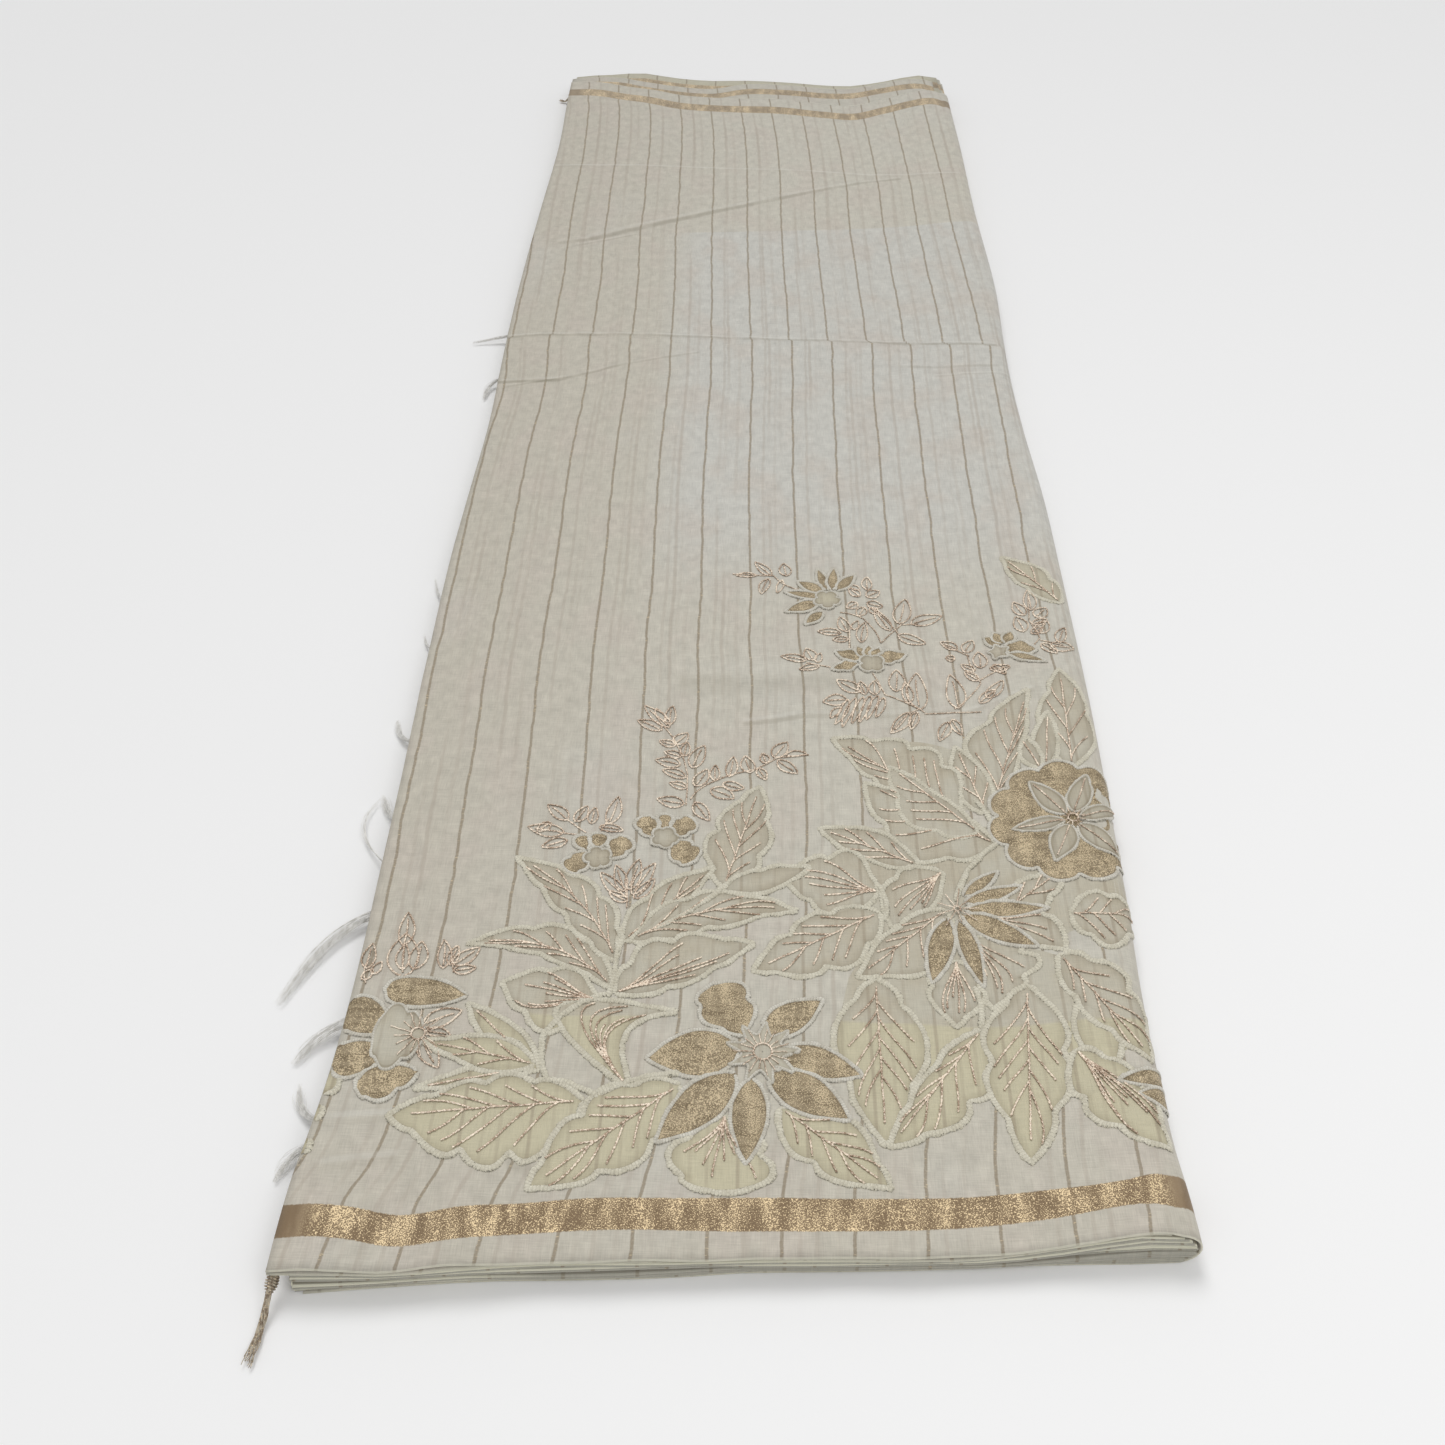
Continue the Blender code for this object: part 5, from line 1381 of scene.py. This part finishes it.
gold_heights = [PETAL_HEIGHT - PETAL_STEP] + petal_heights
petal_cord_grids = cords_round(gold_outlines, gold_heights, star_outlines, PETAL_CORD, PETAL_SEED)
petal_cord_grids += cords_round(star_outlines, star_heights, [], STAR_CORD, STAR_SEED)
petal_cords = join_grids("petal_cords", petal_cord_grids, grey_yarn)
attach(petal_cords, "root")

# The zari embroidery. Two rose-gold metal threads are twisted loosely and couched as the leaves' veins,
# as the flowers' rays, and as small sprigs of outlined leaves between and above the leaves.
ZARI_DARK = (0.400, 0.290, 0.205, 1.0)
ZARI_MIDDLE = (0.720, 0.590, 0.470, 1.0)
ZARI_GLINT = (0.960, 0.835, 0.680, 1.0)
SPRAYS = table(
    "x y near far rays first",
    (6.5, -488.5, 4, 12.5, 18, 0),
    (-142, -484, 3, 13, 15, 20),
    (158, -356, 2.5, 7, 12, 18),
    (97, -409, 1.5, 12, 9, 200),
)
LOOPS = table(
    "x y tip_x tip_y width",
    (11, -163, 1, -150, 6), (20, -163, 18, -151, 7), (9, -166, 5, -180, 6), (17, -167, 14, -179, 4),
    (2, -163, -10, -163, 4), (67, -175, 67, -163, 6), (62, -181, 56, -174, 6), (66, -181, 74, -176, 7),
    (60, -187, 54, -192, 6), (66, -187, 75, -190, 7), (64, -191, 60, -199, 6), (68, -191, 72, -197, 5),
    (62, -175, 57, -171, 4), (83, -205, 88, -183, 10), (90, -205, 108, -198, 9),
    (78, -211, 70, -193, 7), (82, -215, 97, -222, 8), (54, -213, 50, -200, 7), (50, -214, 37, -213, 6),
    (61, -222, 64, -204, 6), (54, -219, 45, -220, 5), (57, -211, 60, -203, 4),
    (34, -237.5, 30, -227.5, 7), (30, -237.5, 16, -234.5, 6), (36, -239.5, 38, -231.5, 4),
    (37, -242.5, 26, -245.5, 5), (59, -262.5, 46, -253.5, 8), (51, -268.5, 38, -270.5, 8),
    (61, -264.5, 59, -254.5, 5), (66, -264.5, 67, -253.5, 6), (78, -261.5, 79, -244.5, 9),
    (90, -275.5, 90, -246.5, 11), (84, -270.5, 83, -254.5, 6), (52, -268.5, 44, -287.5, 4),
    (56, -267.5, 48, -289.5, 4), (60, -266.5, 53, -286.5, 4), (64, -265.5, 57, -285.5, 4),
    (68, -265.5, 61, -283.5, 4), (71, -266.5, 66, -281.5, 4), (48, -274.5, 42, -282.5, 4),
    (84, -277.5, 73, -293.5, 7), (88, -277.5, 84, -290.5, 5), (104, -285, 98, -299, 6),
    (106, -283, 110, -295, 5), (114, -227, 105, -221, 6), (118, -230, 123, -220, 7),
    (125, -243, 125, -230, 8), (122, -245, 115, -240, 5), (110, -275, 108, -248, 10),
    (112, -235, 107, -234, 5), (123, -253, 116, -246, 5), (126, -267, 136, -254, 7),
    (122, -271, 131, -261, 6), (130, -244, 141, -243, 6), (132, -241, 138, -249, 5),
    (158, -197, 158, -179, 7), (154, -201, 149, -189, 7), (160, -203, 167, -195, 8),
    (152, -215, 149, -202, 8), (160, -217, 166, -207, 8), (157, -209, 166, -205, 5),
    (170, -225, 175, -212, 6), (165, -227, 178, -229, 8), (160, -226, 168, -234, 6),
    (156, -217, 163, -212, 5), (-43, -291, -57, -275, 7), (-43, -289, -42, -275, 6),
    (-47, -293, -60, -286, 7), (-45, -286, -51, -277, 4), (-40, -303, -33, -295, 7),
    (-39, -304, -48, -301, 5), (-36, -312, -45, -309, 5), (-36, -318, -49, -315, 7),
    (-30, -320, -24, -304, 8), (-33, -327, -45, -322, 6), (-34, -312, -33, -302, 5),
    (-32, -334, -41, -331, 5), (-33, -345, -47, -342, 7), (-28, -344, -20, -356, 7),
    (-28, -333, -22, -321, 7), (-18, -329, -18, -318, 5), (-11, -326, -9, -312, 6),
    (-20, -335, -8, -341, 8), (-14, -331, -3, -334, 6), (0, -323, -3, -311, 7), (4, -320, 8, -328, 5),
    (8, -316, 6, -309, 5), (12, -312, 19, -301, 8), (14, -314, 24, -323, 7), (18, -310, 29, -309, 4),
    (-90, -358, -101, -348, 7), (-91, -366, -109, -363, 8), (-89, -371, -101, -376, 6),
    (-86, -359, -81, -348, 6), (-78, -360, -77, -349, 5), (-70, -360, -66, -341, 7),
    (-74, -362, -62, -364, 5), (-98, -360, -104, -366, 5), (-58, -405, -71, -391, 7),
    (-59, -402, -64, -386, 6), (-57, -401, -53, -382, 7), (-55, -404, -45, -384, 7),
    (-54, -406, -45, -394, 6), (-57, -408, -66, -402, 5), (-137, -449, -139, -433, 6),
    (-134, -447, -132, -436, 5), (-133, -447, -122, -437, 7), (-132, -450, -122, -448, 5),
    (-154, -454, -157, -430, 14), (-157, -437, -158, -418, 7), (-155, -450, -156, -436, 6),
    (-150, -450, -149, -434, 8), (-171, -450, -171, -436, 6), (-168, -453, -165, -446, 4),
    (-172, -456, -168, -450, 4), (-141, -479, -125, -471, 9), (-140, -486, -131, -500, 8),
    (-139, -482, -128, -484, 5),
)
STEMS = [Stalk(*row) for row in (
    (-12, -162, 12, -163), (12, -163, 32, -178, -0.1), (50, -196, 64, -202, 0.1),
    (64, -202, 72, -222, 0.05), (72, -222, 84, -206), (70, -194, 82, -214, 0.05), (84, -206, 94, -205),
    (54, -227.5, 55, -212.5), (30, -239.5, 46, -244.5), (66, -247.5, 72, -264.5),
    (72, -264.5, 92, -277.5, 0.05), (90, -274.5, 74, -292.5, -0.1), (92, -278.5, 122, -277.5),
    (106, -223, 120, -233), (119, -231, 124, -255, -0.05), (124, -255, 108, -275, 0.05),
    (124, -253, 140, -243, 0.05), (158, -185, 156, -205), (156, -205, 160, -221),
    (160, -221, 154, -229), (160, -223, 172, -227), (-52, -280, -40, -300),
    (-40, -300, -32, -325, 0.03), (-32, -325, -32, -346), (-30, -342, -16, -328, 0.1),
    (-16, -328, 2, -321, 0.05), (2, -321, 14, -312), (14, -312, 30, -310), (-80, -368, -94, -366),
    (-80, -366, -90, -358), (-74, -368, -70, -356), (-57, -412, -58, -396), (-132, -451, -134, -444),
    (-170, -458, -171, -444, 0.1),
)]
ZARI_STEP = 0.9
ZARI_TWIST = 4.4
VEIN_LIFT = 0.12
SPRAY_HEIGHT = STAR_HEIGHT + 0.15
SPRIG_HEIGHT = 0.05
VEIN_RADIUS = 0.27
STAR_VEIN_RADIUS = 0.24
RAY_RADIUS = 0.25
LOOP_RADIUS = 0.29
LOOP_VEIN_RADIUS = 0.26
STEM_RADIUS = 0.22


def vein_lines(row):
    """A leaf's middle vein and its side veins, which leave it at a narrow angle or all at the base."""
    lines = []
    if row.veins and not row.fan:
        lines.append(spine(row, np.linspace(0.05, 0.88, 24))[0])
    for k in range(row.veins):
        for sign, width in ((1, row.left), (-1, row.right)):
            uneven = math.sin(5.1 * k + 2.3 * sign + row.base_x)
            if width < 6 or (row.veins == 1 and width < 8):
                continue
            if row.fan:
                start, end = 0.03, 0.66 + 0.16 * uneven
                share = 0.88 * (k + 0.45 + 0.1 * uneven) / row.veins
            else:
                start = 0.07 + 0.60 * (k + 0.3 + 0.2 * sign) / row.veins
                end = min(start + 0.24 + 0.06 * uneven, 0.93)
                share = 0.72 + 0.08 * uneven
            u = np.linspace(0, 1, 9)
            middle, side = spine(row, start + (end - start) * u)
            broad = width * fullness(row, start + (end - start) * u)
            lines.append(middle + side * (sign * broad * share * u**1.1)[:, None])
    return lines


def zari_grids(line, strands, radius, base, seed):
    """Fine metal threads that twist round a line, as four-sided tubes."""
    line, at = spaced(line, ZARI_STEP, False)
    if len(line) < 4:
        return []
    side = sideways(line)
    angles = np.array([0, 0.5, 1, 1.5, 2]) * math.pi
    grids = []
    for strand in range(strands):
        turn = at * 2 * math.pi / ZARI_TWIST + strand * math.pi + seed
        spread = 0.24 if strands > 1 else 0.08
        middle = line + side * (spread * np.sin(turn) + 0.12 * np.sin(at / 3.3 + seed))[:, None]
        lift = radius + 0.16 * (1 + np.cos(turn))
        thick = radius * (1 + 0.25 * np.sin(at * 2.7 + seed + strand))
        plan = middle[:, None, :] + side[:, None, :] * (thick[:, None] * np.cos(angles))[..., None]
        x, z = lay(plan[..., 0], plan[..., 1], (base + lift)[:, None] + thick[:, None] * np.sin(angles))
        grids.append((np.stack([x, plan[..., 1], z], -1), {"along": at[:, None]}))
    return grids


zari, tree, shader = new_material("rose_gold_zari")
place = millimetres(tree)
# The brightest specks are painted glints, with less metal under them.
glitter = noise_of(place, 1.3, 1.3, 1.3, 1.0)
brightness = swing(noise_of(place, 0.18, 0.18, 0.18, 2.0, 4.0), 0.8, glitter)
shine = fade(brightness, 0.52, 0.62)
colour = tint(fade(brightness, 0.34, 0.52), ZARI_DARK, ZARI_MIDDLE)
set_inputs(shader, {
    "Base Color": tint(shine, colour, ZARI_GLINT), "Metallic": scaled(shine, -0.25, 0.45),
    "Roughness": 0.4, "Normal": bumps(glitter, 0.8, 0.0003),
})

all_outlines = leaf_outlines + upper_outlines
vein_grids = []
for index, row in enumerate(LEAVES):
    base = leaf_heights[index] + VEIN_LIFT
    for k, line in enumerate(vein_lines(row)):
        line, _ = spaced(line, ZARI_STEP, False)
        for run in uncovered(line, all_outlines[index + 1:], 0.0, 4):
            vein_grids += zari_grids(line[run], 2, VEIN_RADIUS, base, 0.7 * index + 1.9 * k)
for index, row in enumerate(STAR_PETALS):
    for line in vein_lines(row):
        vein_grids += zari_grids(line, 2, STAR_VEIN_RADIUS, star_heights[index] + VEIN_LIFT, 1.1 * index)
for row in SPRAYS:
    for k in range(row.rays):
        angle = math.radians(row.first + 360 * k / row.rays)
        reach = np.linspace(row.near, row.far * (0.85 + 0.15 * math.sin(2.3 * k)), 5)
        line = np.stack([row.x + reach * math.cos(angle), row.y + reach * math.sin(angle)], 1)
        vein_grids += zari_grids(line, 1, RAY_RADIUS, SPRAY_HEIGHT, 2.1 * k)
    turn = np.linspace(0, 2 * math.pi, 25)
    ring = np.stack([row.x + row.near * np.cos(turn), row.y + row.near * np.sin(turn)], 1)
    vein_grids += zari_grids(ring, 2, VEIN_RADIUS, SPRAY_HEIGHT, row.near)
zari_veins = join_grids("zari_veins", vein_grids, zari)
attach(zari_veins, "root")

sprig_grids = []
for index, row in enumerate(LOOPS):
    half_width = 0.5 * row.width
    bend = 0.04 * math.sin(2.7 * index)
    leaf = Patch(row.x, row.y, row.tip_x, row.tip_y, half_width, half_width, bend=bend)
    loop = outline_of(leaf, 12)
    loop = np.concatenate([loop, loop[:2]])
    sprig_grids += zari_grids(loop, 2, LOOP_RADIUS, SPRIG_HEIGHT, 0.9 * index)
    if row.width > 4:
        vein, _ = spine(leaf, np.linspace(0.1, 0.8, 8))
        sprig_grids += zari_grids(vein, 2, LOOP_VEIN_RADIUS, SPRIG_HEIGHT, 1.7 * index)
for index, row in enumerate(STEMS):
    stem = Patch(row.x0, row.y0, row.x1, row.y1, 0, 0, bend=row.bow)
    line, _ = spine(stem, np.linspace(0, 1, 10))
    sprig_grids += zari_grids(line, 2, STEM_RADIUS, SPRIG_HEIGHT, 1.3 * index)
zari_sprigs = join_grids("zari_sprigs", sprig_grids, zari)
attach(zari_sprigs, "root")

# The pallu's fringe. Loose, soft cotton yarn hangs out of the left-hand folds in wisps, and each wisp is
# a bundle of fine threads that spread and part towards their ends.
TUFTS = table(
    "strip root_y bend_x bend_y tip_x tip_y threads spread",
    ("far_fringe", 123, -194, 122, -208, 118, 30, 1.5),
    ("far_fringe", 64, -188, 64, -189, 42, 44, 2.4),
    ("middle_fringe", -180, -186, -178, -190, -157, 16, 1.0),
    ("middle_fringe", -224, -185, -222, -188, -207, 16, 1.0),
    ("middle_fringe", -298, -187, -296, -191, -278, 34, 2.0),
    ("middle_fringe", -353, -183, -349, -188, -333, 40, 2.2),
    ("middle_fringe", -385, -202, -359, -188, -335, 12, 0.9),
    ("near_fringe", -411, -194, -416, -211, -462, 60, 3.6),
    ("near_fringe", -470, -190, -476, -197, -492, 50, 3.2),
    ("near_fringe", -522, -189, -519, -192, -501, 46, 2.0),
    ("near_fringe", -530, -188, -533, -192, -547, 46, 2.2),
)
FRINGE_GREY = (0.740, 0.725, 0.685, 1.0)
FRINGE_WHITE = (0.950, 0.940, 0.910, 1.0)
ROOT_HEIGHT = 5.6
KNEE_HEIGHT = 1.4
TIP_HEIGHT = 0.8
THREAD_RADIUS = 0.12
LOWEST_THREAD = 0.35
TUFT_SEED = 40

fringe_yarn, tree, shader = new_material("fringe_yarn")
strandy = fade(noise_of(millimetres(tree), 0.6, 0.2, 0.6, 2.0), 0.3, 0.7)
colour = tint(strandy, FRINGE_GREY, FRINGE_WHITE)
set_inputs(shader, {"Base Color": colour, "Roughness": 0.9, "Sheen Weight": 0.4})


def thread_tube(path, radius, sides=4):
    """A thin closed-round tube along a path of points, which thins out to its end."""
    ahead = np.gradient(path, axis=0)
    ahead /= np.maximum(np.linalg.norm(ahead, axis=1), 1e-9)[:, None]
    side = np.cross(ahead, [0, 0, 1.0])
    side /= np.maximum(np.linalg.norm(side, axis=1), 1e-6)[:, None]
    up = np.cross(side, ahead)
    thin = radius * np.linspace(1, 0.35, len(path)) ** 0.8
    angles = np.linspace(0, 2 * math.pi, sides + 1)
    ring = side[:, None, :] * np.cos(angles)[None, :, None] + up[:, None, :] * np.sin(angles)[None, :, None]
    return path[:, None, :] + ring * thin[:, None, None]


fringe_strips = {"near_fringe": [], "middle_fringe": [], "far_fringe": []}
for index, row in enumerate(TUFTS):
    rng = np.random.default_rng(TUFT_SEED + index)
    root_x = float(left_edge(row.root_y) + through(SIDES, "inset", row.root_y)) - 1.4
    root = np.array([root_x, row.root_y, ROOT_HEIGHT])
    knee = np.array([row.bend_x, row.bend_y, KNEE_HEIGHT])
    tip = np.array([row.tip_x, row.tip_y, TIP_HEIGHT])
    heading = (tip - knee) / np.linalg.norm(tip - knee)
    beside = np.array([heading[1], -heading[0], 0])
    for k in range(row.threads):
        t = np.linspace(0, 1, 15)[:, None]
        stray = 2.2 if rng.random() < 0.2 else 1.0
        fan = row.spread * rng.uniform(-1, 1) * stray
        reach = 1 - 0.45 * rng.random() ** 1.6
        first = root + np.array([0, 0.7 * fan / stray, rng.uniform(-0.8, 0.8)])
        last = knee + (tip - knee) * reach + beside * fan * (1.25 - 0.9 * reach)
        last = last + np.array([0, 0, rng.uniform(0, 1.4)])
        bend = knee + beside * fan * 0.8 + np.array([0, 0, rng.uniform(0, 2.2)])
        path = first * (1 - t) ** 2 + bend * 2 * t * (1 - t) + last * t**2
        wave = rng.uniform(0, 6.3)
        path[:, :2] += beside[:2] * (0.35 * np.sin(t * rng.uniform(5, 11) + wave) * t) * stray
        path[:, 2] = np.maximum(path[:, 2], LOWEST_THREAD)
        fringe_strips[row.strip].append((thread_tube(path, THREAD_RADIUS), {}))
for name, strips in fringe_strips.items():
    fringe = join_grids(name + "_threads", strips, fringe_yarn)
    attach(fringe, "root")
    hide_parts(name)

# The tassels at the pallu's two corners. Cream and gold threads are bound with zari wire into a small
# wrapped head, and below it they hang as one loose twist.
TASSELS = table(
    "node x y z tip_x tip_y head_long head_round threads spread",
    ("near_corner_tassel", -180.4, -591.2, 8.3, -184.6, -621.0, 4.4, 2.3, 18, 2.6),
    ("far_corner_tassel", -178.2, 566.0, 8.6, -191.0, 571.5, 2.8, 1.9, 18, 2.2),
)
TASSEL_BROWN = (0.260, 0.200, 0.140, 1.0)
TASSEL_CREAM = (0.500, 0.440, 0.340, 1.0)
TASSEL_GOLD = (0.800, 0.660, 0.460, 1.0)
TASSEL_SEED = 90
TASSEL_TIP_HEIGHT = 0.9
HANG_HEIGHT = 1.6
WRAP_TURNS = 7
WIRE_RADIUS = 0.55
STRAND_RADIUS = 0.34
LOWEST_STRAND = 0.4

tassel_yarn, tree, shader = new_material("tassel_yarn")
place = millimetres(tree)
bands = fade(noise_of(place, 0.9, 0.35, 0.9, 1.0), 0.42, 0.58)
glitter = fade(noise_of(place, 1.7, 1.7, 1.7, 1.0, 8.0), 0.56, 0.70)
colour = tint(glitter, tint(bands, TASSEL_BROWN, TASSEL_CREAM), TASSEL_GOLD)
set_inputs(shader, {"Base Color": colour, "Metallic": times(glitter, 0.5), "Roughness": 0.5})

for index, row in enumerate(TASSELS):
    rng = np.random.default_rng(TASSEL_SEED + index)
    root = np.array([row.x, row.y, row.z])
    tip = np.array([row.tip_x, row.tip_y, TASSEL_TIP_HEIGHT])
    heading = (tip - root) / np.linalg.norm(tip - root)
    beside = np.array([heading[1], -heading[0], 0.0])
    beside /= np.linalg.norm(beside)
    above = np.cross(beside, heading)
    t = np.linspace(0, 1, WRAP_TURNS * 12)
    round_by = row.head_round * np.sin(math.pi * (0.12 + 0.76 * t)) ** 0.6
    angle = t * WRAP_TURNS * 2 * math.pi
    wrap = root + heading * ((t - 0.45) * 1.7 * row.head_long)[:, None]
    wrap = wrap + beside * (round_by * np.cos(angle))[:, None] + above * (round_by * np.sin(angle))[:, None]
    core = root + heading * (np.linspace(-0.45, 0.6, 9) * 1.8 * row.head_long)[:, None]
    strips = [(thread_tube(wrap, WIRE_RADIUS, 6), {}), (thread_tube(core, row.head_round * 0.95, 10), {})]
    for k in range(row.threads):
        t = np.linspace(0, 1, 22)
        phase = 2 * math.pi * k / row.threads
        reach = 1 - 0.18 * rng.random()
        bundle = row.spread * (0.42 + 0.45 * t**2) * (0.55 + 0.45 * rng.random())
        twist = phase + t * 5.0
        settled = np.clip(t / 0.6, 0, 1)
        line = root + (tip - root) * (t * reach)[:, None]
        line[:, 2] = row.z + (HANG_HEIGHT - row.z) * settled**2 * (3 - 2 * settled)
        line = line + beside * (bundle * np.cos(twist))[:, None]
        line[:, 2] += np.abs(bundle * np.sin(twist)) * 0.6 - 0.4
        line[:, 2] = np.maximum(line[:, 2], LOWEST_STRAND)
        strips.append((thread_tube(line, STRAND_RADIUS), {}))
    tassel = join_grids(row.node + "_threads", strips, tassel_yarn)
    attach(tassel, "root")
    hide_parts(row.node)
